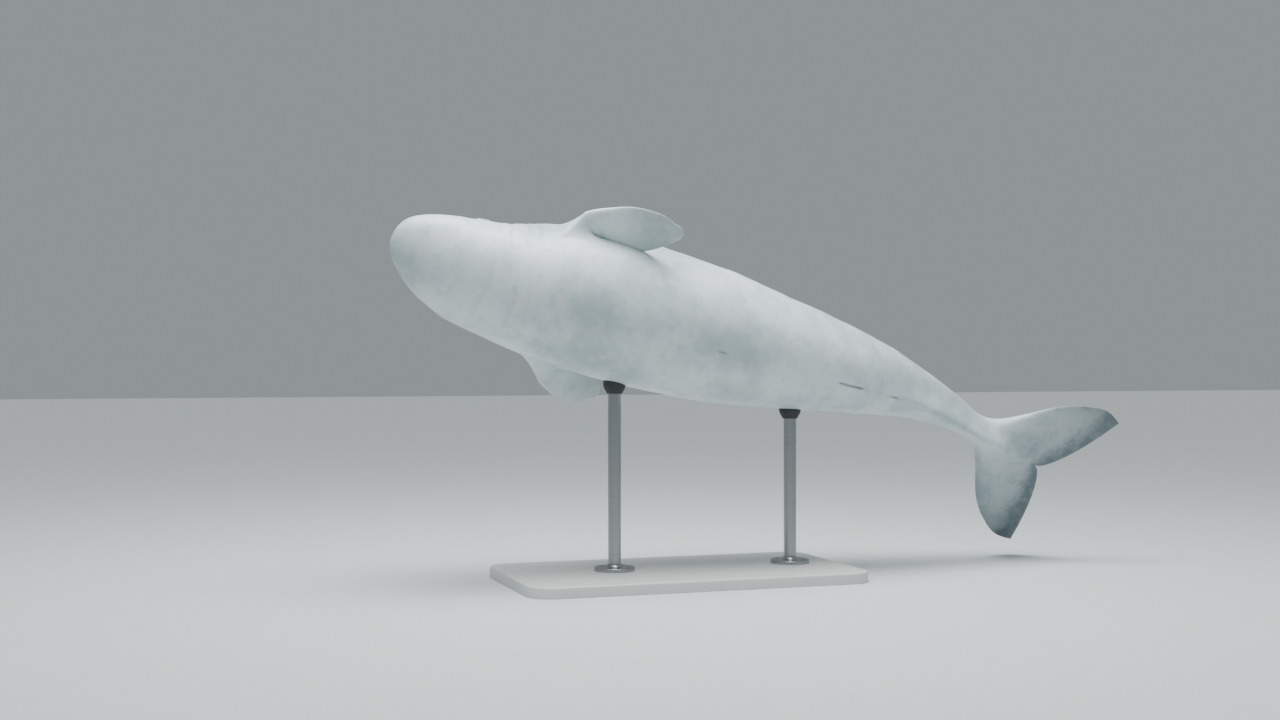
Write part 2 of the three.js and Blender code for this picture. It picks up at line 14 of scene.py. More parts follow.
import bpy
import numpy as np
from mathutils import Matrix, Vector


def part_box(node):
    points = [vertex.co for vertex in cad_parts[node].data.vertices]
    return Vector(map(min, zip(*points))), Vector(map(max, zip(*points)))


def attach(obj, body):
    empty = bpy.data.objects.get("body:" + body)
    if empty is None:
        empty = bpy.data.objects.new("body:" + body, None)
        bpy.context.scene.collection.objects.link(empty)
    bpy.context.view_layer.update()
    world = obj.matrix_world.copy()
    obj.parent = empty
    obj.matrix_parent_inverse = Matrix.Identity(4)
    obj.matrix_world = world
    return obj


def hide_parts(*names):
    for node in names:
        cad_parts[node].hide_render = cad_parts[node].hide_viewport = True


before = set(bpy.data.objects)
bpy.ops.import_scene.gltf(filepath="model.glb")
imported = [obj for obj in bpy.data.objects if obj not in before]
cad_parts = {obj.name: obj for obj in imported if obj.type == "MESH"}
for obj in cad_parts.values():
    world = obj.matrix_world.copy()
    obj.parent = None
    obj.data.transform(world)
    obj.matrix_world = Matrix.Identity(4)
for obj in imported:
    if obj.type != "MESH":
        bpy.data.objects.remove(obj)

log = logging.getLogger("beluga")

Array = np.ndarray
Piece = bpy.types.Object
Material = bpy.types.Material
Tree = bpy.types.NodeTree
Socket = bpy.types.NodeSocket
Knots = Sequence[tuple[float, float]]
Triple = tuple[float, float, float]
Curve = Callable[[Array], Array]

MM = 0.001
LENGTH = 2.8
PERCENT = LENGTH / 100
SNOUT = np.array([-1.060, 0.020, 1.274])
# How far the skin's pattern goes round: for a radian of the body, and once round a flipper.
BODY_RADIUS = 0.2
FLIPPER_GIRTH = 0.3


# Curves


def spline(knots: Knots) -> Curve:
    """A natural cubic spline: curvature is linear in each span and zero at both ends.

    Args:
        knots: pairs of place and value, in rising order of place.

    Returns:
        A function of an array of places, held at its end values outside the knots.
    """
    x, y = np.array(knots, float).T
    step = np.diff(x)
    rise = np.diff(y) / step
    count = len(x)
    system = np.eye(count)
    right = np.zeros(count)
    for i in range(1, count - 1):
        system[i, i - 1:i + 2] = step[i - 1], 2 * (step[i - 1] + step[i]), step[i]
        right[i] = 6 * (rise[i] - rise[i - 1])
    bend = np.linalg.solve(system, right)

    def at(places: Array) -> Array:
        """The spline's values.

        Args:
            places: where they are wanted.

        Returns:
            As many values, in an array of the same shape.
        """
        value = np.clip(places, x[0], x[-1])
        i = np.clip(np.searchsorted(x, value, side="right") - 1, 0, count - 2)
        b = (value - x[i]) / step[i]
        a = 1 - b
        cubic = ((a**3 - a) * bend[i] + (b**3 - b) * bend[i + 1]) * step[i] ** 2 / 6
        return a * y[i] + b * y[i + 1] + cubic

    return at


def round_spline(knots: Knots) -> Curve:
    """A spline over the square root of the place, which rounds the shape at place 0."""
    curve = spline([(math.sqrt(place), value) for place, value in knots])
    return lambda places: curve(np.sqrt(np.maximum(places, 0)))


def smooth_step(start: float, end: float, value: Array) -> Array:
    """Rises from 0 at start to 1 at end as 3t^2 - 2t^3."""
    t = np.clip((np.asarray(value, float) - start) / (end - start), 0, 1)
    return t * t * (3 - 2 * t)


def bell(distance: Array, width: float) -> Array:
    """A bell curve of height 1: exp of minus the square of distance over width."""
    return np.exp(-((distance / width) ** 2))


def unit(vectors: Array) -> Array:
    """The vectors at length one, along the last axis."""
    return vectors / np.maximum(np.linalg.norm(vectors, axis=-1, keepdims=True), 1e-12)


def circle(sides: int, start: float = 0) -> Array:
    """Points of a circle of radius one, anticlockwise from an angle in radians."""
    turn = np.linspace(0, 2 * np.pi, sides, endpoint=False) + start
    return np.stack([np.cos(turn), np.sin(turn)], axis=-1)


def spaced(*runs: Triple) -> Array:
    """Joins runs of (start, end, about this step) into one rising list of places."""
    parts = [np.linspace(a, b, max(1, round((b - a) / step)), endpoint=False) for a, b, step in runs]
    return np.concatenate(parts + [[runs[-1][1]]])


def walked(start: Array, steps: Array, walk: Array, places: Array) -> Array:
    """Points of a path that is the sum of short steps.

    Args:
        start: the path's first point.
        steps: vectors from each point of the path to the next.
        walk: the places of the path's points.
        places: the places that are wanted, of any shape.

    Returns:
        Points with a last axis of three.
    """
    path = start + np.vstack([np.zeros(3), np.cumsum(steps, axis=0)])
    flat = np.ravel(places)
    found = np.stack([np.interp(flat, walk, path[:, k]) for k in range(3)], axis=-1)
    return found.reshape(np.shape(places) + (3,))


# The form of the body


@dataclass(frozen=True)
class Spine:
    """The line along the middle of the body and the directions of the body at each station.

    A station is the distance behind the snout in per cent of the length; the turns are degrees:
    down toward the tail, away from the belly side, and the roll that lowers the belly.
    """

    down: Knots = (
        (0, 29), (6, 27.5), (10, 22.5), (14, 15), (18, 11.5), (24, 12), (31, 14), (42, 14),
        (55, 13), (65, 14), (72, 17.5), (80, 24), (86, 28.5), (92, 29), (100, 29),
    )
    away: Knots = ((0, -2), (20, 0), (60, 0), (80, 2), (100, 4))
    roll: Knots = ((0, 9), (22, 11), (45, 17), (70, 24), (90, 31), (100, 32))
    step: float = 0.25

    def directions(self, stations: Array) -> tuple[Array, Array, Array]:
        """Directions of the body.

        The tail direction comes from the two turns; the left side starts as the upward direction
        square to it and is turned about it by the roll.

        Args:
            stations: stations, of any shape.

        Returns:
            Unit vectors toward the tail, the left side and the back.
        """
        pitch = np.radians(spline(self.down)(stations))
        turn = np.radians(spline(self.away)(stations))
        rolled = np.radians(spline(self.roll)(stations))[..., None]
        rear = np.stack(
            [np.cos(pitch) * np.cos(turn), np.cos(pitch) * np.sin(turn), -np.sin(pitch)], axis=-1
        )
        up = unit(np.array([0.0, 0.0, 1.0]) - rear * rear[..., 2:])
        side = np.cross(rear, up)
        left = up * np.cos(rolled) + side * np.sin(rolled)
        back = up * np.sin(rolled) - side * np.cos(rolled)
        return rear, left, back

    def points(self, stations: Array) -> Array:
        """Points of the spine: the sum of short steps in the direction of the tail.

        Args:
            stations: stations, of any shape.

        Returns:
            Points with a last axis of three.
        """
        walk = np.arange(0, 100 + self.step, self.step)
        steps = self.directions(walk[:-1] + self.step / 2)[0] * self.step * PERCENT
        return walked(SNOUT, steps, walk, stations)


@dataclass(frozen=True)
class BodyForm:
    """The smooth form of the body and fluke, as a function of station and angle.

    The angle runs in degrees from the left side (0) over the back (90) to the right side (180)
    and under the belly (270). Sizes are in per cent of the length unless they say otherwise.
    """

    spine: Spine = Spine()
    half_width: Knots = (
        (0, 0), (0.5, 2.0), (1.3, 2.95), (3, 4.15), (5, 5.15), (7, 5.9), (10, 6.7), (14, 7.4),
        (18, 8.3), (24, 9.15), (31, 9.6), (38, 9.45), (45, 9.0), (52, 8.15), (60, 6.85),
        (68, 5.45), (75, 4.1), (81, 2.9), (85, 2.25), (88, 1.95), (89.8, 2.7), (91.6, 4.9),
        (94, 8.1), (96.2, 10.45), (97.8, 11.8), (99.2, 12.4), (100, 11.9),
    )
    dorsal: Knots = (
        (0, -2.5), (0.25, -1.65), (0.8, -1.1), (1.3, -0.6), (1.8, 0.5), (2.5, 2.25), (3.3, 3.6),
        (4.6, 4.85), (6.4, 5.65), (8.5, 5.9), (11, 5.75), (14.5, 5.8), (18, 6.45), (24, 7.6),
        (31, 8.5), (39, 8.95), (47, 8.8), (55, 8.1), (63, 7.05), (72, 5.6), (80, 4.4), (86, 3.75),
        (90, 3.3), (94, 2.3), (97, 1.15), (100, 0.03),
    )
    ventral: Knots = (
        (0, -2.5), (0.25, -3.4), (0.8, -3.95), (2, -4.6), (4, -5.35), (7, -6.2), (10, -6.95),
        (14, -7.7), (18, -8.4), (24, -9.2), (31, -9.7), (39, -9.8), (47, -9.35), (55, -8.4),
        (63, -7.05), (72, -5.4), (80, -4.2), (86, -3.55), (90, -3.1), (94, -2.1), (97, -1.05),
        (100, -0.03),
    )
    widest_height: Knots = (
        (0, -2.5), (1, -2.6), (3, -2.6), (5, -2.45), (7, -2.0), (8.5, -1.55), (12, -0.8),
        (18, -0.2), (25, 0), (60, 0), (100, 0),
    )
    fluke_start: float = 88
    fluke_sweep: Knots = (
        (88, 0), (89.8, 0.3), (91.6, 0.9), (94, 1.35), (96.2, 2.15), (97.8, 3.3), (99.2, 4.9),
        (100, 6.2),
    )
    notch_power: float = 0.62
    fluke_flex: float = 0.9
    fluke_half_span: float = 13
    keel_start: float = 66
    keel_width: float = 1.45
    keel_flank: float = 0.42
    ridge_from: float = 46
    ridge_to: float = 68
    ridge_height: float = 0.42
    ridge_spread: float = 7

    def keel(self, station: Array, across: Array) -> Array:
        """Narrows a section toward its crest: a bell over the distance from the middle."""
        crest = self.keel_flank + (1 - self.keel_flank) * bell(across, self.keel_width)
        return 1 + smooth_step(self.keel_start, self.fluke_start, station) * (crest - 1)

    def fluke_share(self, station: Array) -> Array:
        """The share of the way along the fluke, from 0 at its start to 1 at the notch."""
        return np.clip((station - self.fluke_start) / (100 - self.fluke_start), 0, 1)

    def section(self, station: Array, high: Array) -> tuple[Array, Array]:
        """Heights of a section.

        Args:
            station: stations.
            high: sines of the angles, which are below zero on the belly's side.

        Returns:
            The height of the widest line, and how far the section goes beyond it.
        """
        middle = round_spline(self.widest_height)(station)
        over, under = round_spline(self.dorsal)(station), round_spline(self.ventral)(station)
        return middle, np.abs(np.where(high >= 0, over, under) - middle)

    def point(self, station: Array, degrees: Array) -> Array:
        """Points of the skin.

        Each section is two half ellipses, over and under the widest line, that share its width;
        the keel narrows them on the tail. In the fluke the sides are swept back by the leading
        edge, by a power of the distance from the middle that falls toward the notch.

        Args:
            station: stations, of any shape.
            degrees: angles of a shape that fits the stations.

        Returns:
            Points with a last axis of three.
        """
        station, degrees = np.broadcast_arrays(np.asarray(station, float), np.asarray(degrees, float))
        across, high = np.cos(np.radians(degrees)), np.sin(np.radians(degrees))
        middle, reach = self.section(station, high)
        y = round_spline(self.half_width)(station) * across
        run = np.clip((station - self.ridge_from) / (self.ridge_to - self.ridge_from), 0, 1)
        ridge = self.ridge_height * np.sin(np.pi * run) * bell(degrees - 90, self.ridge_spread)
        share = self.fluke_share(station)
        flex = self.fluke_flex * (y / self.fluke_half_span) ** 2 * share
        z = middle + (reach * self.keel(station, y) + ridge) * high + flex
        power = 2 + (self.notch_power - 2) * share**3
        swept = np.where(share > 0, spline(self.fluke_sweep)(station), 0)
        x = swept * np.maximum(np.abs(across), 1e-9) ** power
        rear, left, back = self.spine.directions(station)
        offset = rear * x[..., None] + left * y[..., None] + back * z[..., None]
        return self.spine.points(station) + offset * PERCENT

    def frame_at(self, station: float, degrees: float) -> tuple[Array, Array, Array, Array]:
        """A place on the skin and its directions, from the differences to points close by.

        Args:
            station: the station.
            degrees: the angle.

        Returns:
            The point, and unit vectors toward the rear, round the body and outward.
        """
        ds, da = 0.3, 2.0
        here = self.point(station, degrees)
        rear = unit(self.point(station + ds, degrees) - self.point(station - ds, degrees))
        turn = unit(self.point(station, degrees + da) - self.point(station, degrees - da))
        outward = unit(np.cross(rear, turn))
        return here, rear, np.cross(outward, rear), outward


# Features worked into the skin


def painted_hollow_shade(relief: Array, shade: float, depth: float) -> Array:
    """Painted shade in a hollow: it rises with its depth, up to the whole shade at the depth given."""
    return shade * np.clip(-relief / depth, 0, 1)


@dataclass(frozen=True)
class Mouth:
    """The line of the mouth, a groove along the widest line, between rounded lips. Metres."""

    corner: float = 7.6
    fade_ahead: float = 1.2
    fade_behind: float = 0.3
    depth: float = 5.5 * MM
    half_width: float = 2.4 * MM
    lip_height: float = 2.4 * MM
    lip_offset: float = 8 * MM
    # Painted shade in the groove, all of shade where it is as deep as the shade depth.
    shade: float = 0.8
    painted_shade_depth: float = 3 * MM

    def relief(self, station: Array, distance: Array) -> Array:
        """A bell-shaped groove and a lip on both sides, which fade at the mouth's corner.

        Args:
            station: the station of each point.
            distance: its distance from the line of the mouth.

        Returns:
            How far the skin moves out.
        """
        fade = 1 - smooth_step(self.corner - self.fade_ahead, self.corner + self.fade_behind, station)
        lips = self.lip_height * bell(distance - self.lip_offset, self.lip_offset)
        return fade * (lips - self.depth * bell(distance, self.half_width))


@dataclass(frozen=True, kw_only=True)
class Feature:
    """A form laid on the skin at a station and an angle. Metres.

    It starts to fade at a share of its reach. Its hollows get painted shade: all of shade where
    they are as deep as the shade depth.
    """

    station: float
    angle: float
    length: float
    margin: float = 30 * MM
    fade_from: float = 0.75
    # Painted shade in the hollows, as a share of the dark colour; the eyelids darken round the eye by it.
    shade: float = 0.5
    painted_shade_depth: float = 4 * MM

    @property
    def reach(self) -> float:
        """The distance from the centre at which the relief has faded to nothing."""
        return self.length + self.margin

    def relief(self, along: Array, round_: Array) -> Array:
        """How far the skin moves out, at distances along the body and round it."""
        raise NotImplementedError

    def darkness(self, relief: Array, near: Array) -> Array:
        """Painted shade in the hollows, from the relief (the eyelids use the distance from the centre).
        """
        return painted_hollow_shade(relief, self.shade, self.painted_shade_depth)


@dataclass(frozen=True, kw_only=True)
class Eyelids(Feature):
    """An almond-shaped opening with a full rim and creases round it.

    Places and widths of the rim, socket, swelling and creases are in half sizes of the opening.
    """

    station: float = 9.9
    length: float = 28 * MM
    height: float = 19 * MM
    margin: float = 47 * MM
    shade: float = 0.8
    shade_spread: float = 22 * MM
    rim: float = 3.6 * MM
    rim_at: float = 1.42
    rim_width: float = 0.4
    socket: float = 10 * MM
    socket_edge: tuple[float, float] = (0.78, 1.1)
    swelling: float = 2 * MM
    swelling_width: float = 3.6
    crease: float = 1.8 * MM
    creases: tuple[Triple, ...] = ((2.2, 0.26, 1.0), (3.05, 0.3, 0.6))

    def relief(self, along: Array, round_: Array) -> Array:
        """A rim, a socket and a soft swelling by the distance in half sizes of the opening.

        Each crease has a place, a width and a share of the depth, and is deeper over the eye.

        Args:
            along: distances along the body.
            round_: distances round the body.

        Returns:
            How far the skin moves out.
        """
        over = round_ / (self.height / 2)
        out = np.hypot(along / (self.length / 2), over)
        rim = self.rim * bell(out - self.rim_at, self.rim_width)
        socket = self.socket * (1 - smooth_step(*self.socket_edge, out))
        swelling = self.swelling * bell(out, self.swelling_width)
        creases = sum(share * bell(out - place, width) for place, width, share in self.creases)
        return swelling + rim - socket - self.crease * creases * (0.6 + 0.4 * np.tanh(over))

    def darkness(self, relief: Array, near: Array) -> Array:
        """Dark round the opening: a bell over the distance from its centre."""
        return self.shade * bell(near, self.shade_spread)


@dataclass(frozen=True, kw_only=True)
class Blowhole(Feature):
    """A crescent slit on the crown, its horns pointing ahead, in a low soft swelling."""

    station: float = 9.6
    angle: float = 87
    length: float = 58 * MM
    margin: float = 62 * MM
    # Painted shade in the slit, all of it where the slit is as deep as the shade depth.
    shade: float = 0.9
    painted_shade_depth: float = 3 * MM
    sweep: tuple[float, float] = (52, 72)
    width: float = 3.1 * MM
    depth: float = 6.5 * MM
    lip: float = 2.2 * MM
    lip_offset: float = 6 * MM
    lip_width: float = 5 * MM
    swelling: float = 3.5 * MM
    swelling_width: float = 48 * MM
    swelling_ahead: float = 8 * MM

    def relief(self, along: Array, round_: Array) -> Array:
        """A groove along an arc, with a lip behind it, on a bell-shaped swelling.

        The arc fades out where it is turned from the middle by the angles of the sweep.

        Args:
            along: distances along the body.
            round_: distances round the body.

        Returns:
            How far the skin moves out.
        """
        radius = self.length / 2
        degrees = np.degrees(np.arctan2(round_, along + radius))
        off_arc = np.hypot(along + radius, round_) - radius
        on_arc = 1 - smooth_step(*self.sweep, np.abs(degrees))
        lip = self.lip * bell(off_arc - self.lip_offset, self.lip_width) * on_arc
        from_top = np.hypot(along + self.swelling_ahead, round_)
        swelling = self.swelling * bell(from_top, self.swelling_width)
        return swelling + lip - self.depth * bell(off_arc, self.width) * on_arc


@dataclass(frozen=True, kw_only=True)
class Slit(Feature):
    """A short slit along the body, between two low lips, with painted shade in it.

    The lips' height is a share of the depth; their offset and width are in widths of the slit.
    """

    width: float
    depth: float
    lip_share: float = 0.35
    lip_offset: float = 2.6
    lip_width: float = 1.8
    end_fade: tuple[float, float] = (0.7, 1.05)

    def relief(self, along: Array, round_: Array) -> Array:
        """A narrow bell-shaped groove that fades at its ends, between two lips.

        Args:
            along: distances along the body.
            round_: distances round the body.

        Returns:
            How far the skin moves out.
        """
        ends = 1 - smooth_step(*self.end_fade, np.abs(along) / (self.length / 2))
        off_lip = np.abs(round_) - self.lip_offset * self.width
        lips = self.lip_share * self.depth * bell(off_lip, self.lip_width * self.width)
        return ends * (lips - self.depth * bell(round_, self.width))


@dataclass(frozen=True)
class Folds:
    """Shallow creases across the neck, throat or tail stock, each faded round the body."""

    stations: Triple
    centre: float
    spread: float
    depth: float
    width: float
    wander: tuple[Triple, ...] = ((0.22, 3, 1.7), (0.1, 7, 1))
    # Painted shade in the creases, all of it where they are as deep as the shade depth.
    shade: float = 0.35
    painted_shade_depth: float = 3 * MM

    def relief(self, station: Array, degrees: Array) -> Array:
        """Bell-shaped grooves that wander a little in station as they run round the body.

        The wandering is a sum of sines, with a height, a number of waves round the body and a
        shift from each groove to the next. The grooves' middles and spreads differ a little too.

        Args:
            station: the station of each point.
            degrees: its angle.

        Returns:
            How far the skin moves out.
        """
        off = (degrees - self.centre + 180) % 360 - 180
        total = np.zeros(np.shape(station))
        for k, place in enumerate(self.stations):
            wander = sum(
                size * np.sin(waves * np.radians(off) + shift * k) for size, waves, shift in self.wander
            )
            fade = bell(off - 6 * math.sin(2.1 * k), self.spread * (0.8 + 0.2 * math.cos(1.3 * k)))
            total = total - self.depth * fade * bell(station - place - wander, self.width)
        return total


LIDS = (Eyelids(angle=9), Eyelids(angle=171))
EAR_OPENING = {"station": 13.4, "length": 7 * MM, "width": 2.2 * MM, "depth": 4.5 * MM}
NAVEL = Slit(station=43.5, angle=270, length=30 * MM, width=4 * MM, depth=4 * MM)
LONG_SLIT = Slit(station=64, angle=270, length=128 * MM, width=3.2 * MM, depth=7 * MM)
SHORT_SLIT = Slit(station=71.3, angle=270, length=38 * MM, width=3.4 * MM, depth=6 * MM)
FEATURES = (
    *LIDS, Blowhole(), Slit(angle=4, **EAR_OPENING), Slit(angle=176, **EAR_OPENING),
    NAVEL, LONG_SLIT, SHORT_SLIT,
)
FOLDS = (
    Folds(stations=(14.2, 16.5, 18.1), centre=350, spread=46, depth=1.9 * MM, width=0.27),
    Folds(stations=(12.1, 15.4, 17.4), centre=256, spread=40, depth=1.2 * MM, width=0.3),
    Folds(stations=(83.2, 85.0, 86.8), centre=190, spread=40, depth=1.0 * MM, width=0.2),
)


def blubber(station: Array, degrees: Array) -> Array:
    """Low, wide unevenness of the flesh between neck and tail: a few sines of station and angle.

    Args:
        station: the station of each point.
        degrees: its angle.

    Returns:
        How far the skin moves out, in metres.
    """
    a = np.radians(degrees)
    waves = (
        1.3 * np.sin(0.31 * station + 1.1 * np.sin(a) + 0.4)
        + 0.9 * np.sin(0.53 * station - 2 * a + 1.9)
        + 0.6 * np.sin(0.97 * station + 3 * a + 0.7)
        + 0.4 * np.sin(1.7 * station - 4 * a)
    )
    return waves * MM * smooth_step(9, 24, station) * (1 - smooth_step(74, 88, station))


# Meshes

SHARP_ANGLE = math.radians(38)


def new_object(
    name: str, points: Array, faces: Sequence[Array], smooth: bool = True, sharp: bool = False
) -> Piece:
    """Makes a mesh object from points and arrays of faces with three or four corners.

    Args:
        name: the piece's name.
        points: an array of points.
        faces: arrays of vertex numbers, one row to a face.
        smooth: whether the faces are shaded smooth.
        sharp: whether edges with more than the sharp angle between their faces are shaded sharp.

    Returns:
        The object, linked to the scene, at the origin.
    """
    mesh = bpy.data.meshes.new(name)
    mesh.from_pydata(points.reshape(-1, 3).tolist(), [], [f for block in faces for f in block.tolist()])
    mesh.polygons.foreach_set("use_smooth", np.full(len(mesh.polygons), smooth))
    mesh.update()
    if sharp:
        mesh.set_sharp_from_angle(angle=SHARP_ANGLE)
    return placed(name, mesh)


def placed(name: str, data: bpy.types.ID, place: Triple = (0, 0, 0), turn: Triple = (0, 0, 0)) -> Piece:
    """Links an object to the scene.

    Args:
        name: the object's name.
        data: its mesh, light or camera.
        place: where it stands.
        turn: its turns about X, Y and Z, in radians.

    Returns:
        The object.
    """
    piece = bpy.data.objects.new(name, data)
    piece.location = place
    piece.rotation_euler = turn
    bpy.context.collection.objects.link(piece)
    return piece


def finish_piece(piece: Piece, material: Material) -> None:
    """Gives a piece its material and lets it ride on the one body.

    Args:
        piece: the piece.
        material: its material.
    """
    piece.data.materials.append(material)
    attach(piece, "root")


def ring_faces(rows: int, columns: int, first: int = 0) -> Array:
    """Quads of a grid of rows that close on themselves.

    Args:
        rows: number of rows.
        columns: number of points in a row.
        first: number of the first point.

    Returns:
        Vertex numbers, one row to a face.
    """
    i, j = np.meshgrid(np.arange(rows - 1), np.arange(columns), indexing="ij")
    a = first + i * columns + j
    b = first + i * columns + (j + 1) % columns
    return np.stack([a, a + columns, b + columns, b], axis=-1).reshape(-1, 4)


def fan(tip: int, ring: Array) -> Array:
    """Triangles from a tip to each edge of a ring of vertex numbers."""
    return np.stack([np.full(len(ring), tip), ring, np.roll(ring, -1)], axis=-1)


def closed_faces(rows: int, columns: int, first: int = 0) -> list[Array]:
    """Faces of a grid of rings and of a fan at each end, whose tips follow the grid's points.

    Args:
        rows: number of rings.
        columns: number of points in a ring.
        first: number of the first point.

    Returns:
        Arrays of vertex numbers.
    """
    ring = first + np.arange(columns)
    tip = first + rows * columns
    last = ring + (rows - 1) * columns
    return [ring_faces(rows, columns, first), fan(tip, ring), fan(tip + 1, last[::-1])]


def stacked(outlines: Sequence[tuple[Array, float]], first: int = 0) -> tuple[Array, list[Array]]:
    """Level outlines one after the other, closed by a fan at both ends.

    Args:
        outlines: for each, its points as x and y, anticlockwise, and its height.
        first: number of the first point.

    Returns:
        The points and the faces.
    """
    rings = [np.column_stack([outline, np.full(len(outline), height)]) for outline, height in outlines]
    ends = [rings[0].mean(axis=0), rings[-1].mean(axis=0)]
    faces = closed_faces(len(rings), len(rings[0]), first)
    return np.vstack([*rings, *ends]), [block[:, ::-1] for block in faces]


def lathe(name: str, corners: Sequence[Triple], centre: Array, steps: int, sides: int = 64) -> Piece:
    """Turns a rounded profile about an upright axis, closed at both ends.

    Args:
        name: the piece's name.
        corners: radius and height of each corner, and the radius that rounds it.
        centre: the axis, as x and y.
        steps: number of points in each rounding.
        sides: number of points round the axis.

    Returns:
        The piece.
    """
    profile = rounded_profile(corners, steps)
    points, faces = stacked([(centre + radius * circle(sides), height) for radius, height in profile])
    return new_object(name, points, faces, sharp=True)


def rounded_profile(corners: Sequence[Triple], steps: int) -> list[tuple[float, float]]:
    """Rounds each inner corner of an open profile by a quadratic arc.

    Args:
        corners: x, y and radius of each corner.
        steps: number of points in each arc.

    Returns:
        The profile's points.
    """
    points = [corners[0][:2]]
    for before, here, after in zip(corners, corners[1:], corners[2:]):
        corner = np.array(here[:2])
        inward = unit(np.array(before[:2]) - corner) * here[2]
        outward = unit(np.array(after[:2]) - corner) * here[2]
        for t in np.linspace(0, 1, steps):
            points.append(tuple(corner + inward * (1 - t) ** 2 + outward * t**2))
    return [*points, corners[-1][:2]]


def relaxed(strip: Array, passes: int) -> Array:
    """Evens a strip of rings between its first and last one.

    In each pass a point moves half way to the mean of its four neighbours.

    Args:
        strip: rings of points.
        passes: number of passes.

    Returns:
        The evened strip.
    """
    even = strip.copy()
    for _ in range(passes):
        inner = even[1:-1]
        beside = np.roll(inner, 1, axis=1) + np.roll(inner, -1, axis=1)
        even[1:-1] = inner / 2 + (even[:-2] + even[2:] + beside) / 8
    return even


def add_layer(piece: Piece, name: str, values: Array) -> None:
    """Stores one number, or a row of three, for each point of a piece.

    Args:
        piece: the piece.
        name: the layer's name, by which a material reads it.
        values: the numbers.
    """
    kind, key = ("FLOAT", "value") if values.ndim == 1 else ("FLOAT_VECTOR", "vector")
    layer = piece.data.attributes.new(name, kind, "POINT")
    layer.data.foreach_set(key, np.ascontiguousarray(values, dtype=np.float32).ravel())


# The flippers


class Side(Enum):
    """The two sides of the body."""

    LEFT = 1
    RIGHT = -1


@dataclass(frozen=True)
class Flipper:
    """A paddle that leaves the body, bends back and ends in a rounded tip.

    Directions are parts of the body's rear, belly and outward directions at the root; edges and
    thickness are in per cent of the flipper's length.
    """

    side: Side
    station: float
    angle: float
    length: float
    leave: Triple
    along: Triple
    face: Triple
    leading: Knots = (
        (0, 15), (10, 13), (20, 14), (34, 18), (50, 21.5), (68, 21), (84, 16.5), (94, 11), (99, 6),
        (100, 3),
    )
    trailing: Knots = (
        (0, -15), (10, -12), (20, -12), (30, -14.5), (42, -19), (56, -22.5), (70, -19.5),
        (84, -12), (94, -5), (99, 0.5), (100, 3),
    )
    half_thickness: Knots = (
        (0, 6.5), (10, 5), (20, 4.2), (40, 3.2), (70, 2.1), (92, 1.2), (99, 0.6), (100, 0.3),
    )
    foil_lean: float = 0.3
    bend: float = 32
    root_depth: float = 14
    steps: int = 228
    ahead: float = 3.0
    behind: float = 4.6
    half_turn: float = 12
    turn_shift: float = -3
    root_dark: float = 0.05
    tip_dark: float = 0.3
    edge_dark: float = 0.42
    edge_power: float = 12

    @property
    def degrees(self) -> float:
        """The root's angle round the body, from the left side over the back."""
        return (360 - self.angle) if self.side is Side.LEFT else 180 + self.angle

    def mixed(self, parts: Triple, spine: Spine) -> Array:
        """A unit direction from parts of rear, belly and outward."""
        rear, left, back = spine.directions(np.array(self.station))
        return unit(rear * parts[0] - back * parts[1] + left * self.side.value * parts[2])

    def heading(self, share: Array, spine: Spine) -> Array:
        """The blade's direction: a blend from the way it leaves to the way it runs."""
        blend = smooth_step(0, self.bend, share)[..., None]
        return unit(self.mixed(self.leave, spine) * (1 - blend) + self.mixed(self.along, spine) * blend)

    def centre_line(self, form: BodyForm, shares: Array) -> Array:
        """The blade's centre line: the sum of short steps in the blade's direction.

        Args:
            form: the body's form.
            shares: per cent of the flipper's length.

        Returns:
            Points, in per cent of the flipper's length.
        """
        walk = np.linspace(-self.root_depth, 100, self.steps + 1)
        steps = self.heading((walk[1:] + walk[:-1]) / 2, form.spine) * np.diff(walk)[:, None]
        root = form.point(self.station, self.degrees) / (self.length / 100)
        start = root - self.heading(np.array(0.0), form.spine) * self.root_depth
        return walked(start, steps, walk, shares)

    def grid(self, form: BodyForm, shares: Array, turns: Array) -> Array:
        """Foil sections across the blade.

        A section's point is the centre, plus the leading direction times the middle and half
        chord times the cosine of the turn, plus the belly-side normal times the thickness and
        sine.

        Args:
            form: the body's form.
            shares: where the sections are, in per cent of the flipper's length.
            turns: angles round a section, in radians.

        Returns:
            Points, a row to a section.
        """
        blade = self.heading(shares, form.spine)
        face = self.mixed(self.face, form.spine)
        flat = unit(face - blade * (blade @ face)[:, None])
        chord = np.cross(blade, flat) * -self.side.value
        lead, trail = spline(self.leading)(shares), spline(self.trailing)(shares)
        middle, half = ((lead + trail) / 2)[:, None], ((lead - trail) / 2)[:, None]
        thick = spline(self.half_thickness)(shares)[:, None]
        cos, sin = np.cos(turns), np.sin(turns)
        across = (middle + half * cos)[..., None] * chord[:, None, :]
        through = (thick * sin * (1 + self.foil_lean * cos))[..., None] * flat[:, None, :]
        return (self.centre_line(form, shares)[:, None, :] + across + through) * (self.length / 100)

    def darkness(self, share: Array, turns: Array) -> Array:
        """How dark the skin is: a little more toward the tip, and most on the blade's edges.

        Args:
            share: per cent of the flipper's length.
            turns: angles round a section, in radians.

        Returns:
            Values from 0 to 1, a row to a section.
        """
        edges = self.edge_dark * np.abs(np.cos(turns)) ** self.edge_power * smooth_step(15, 45, share)
        tone = self.root_dark + self.tip_dark * smooth_step(45, 100, share)
        return np.maximum(tone * smooth_step(0, 40, share), edges)


FLIPPERS = (
    Flipper(
        Side.LEFT, station=22.6, angle=17, length=0.395,
        leave=(0.6, 0.3, 0.72), along=(0.95, 0.3, 0.08), face=(-0.3, 0.9, -0.42),
    ),
    Flipper(
        Side.RIGHT, station=22.8, angle=4, length=0.390,
        leave=(0.68, -0.3, 0.66), along=(0.82, -0.55, 0.14), face=(0.54, 0.8, 0.22),
    ),
)


# The skin


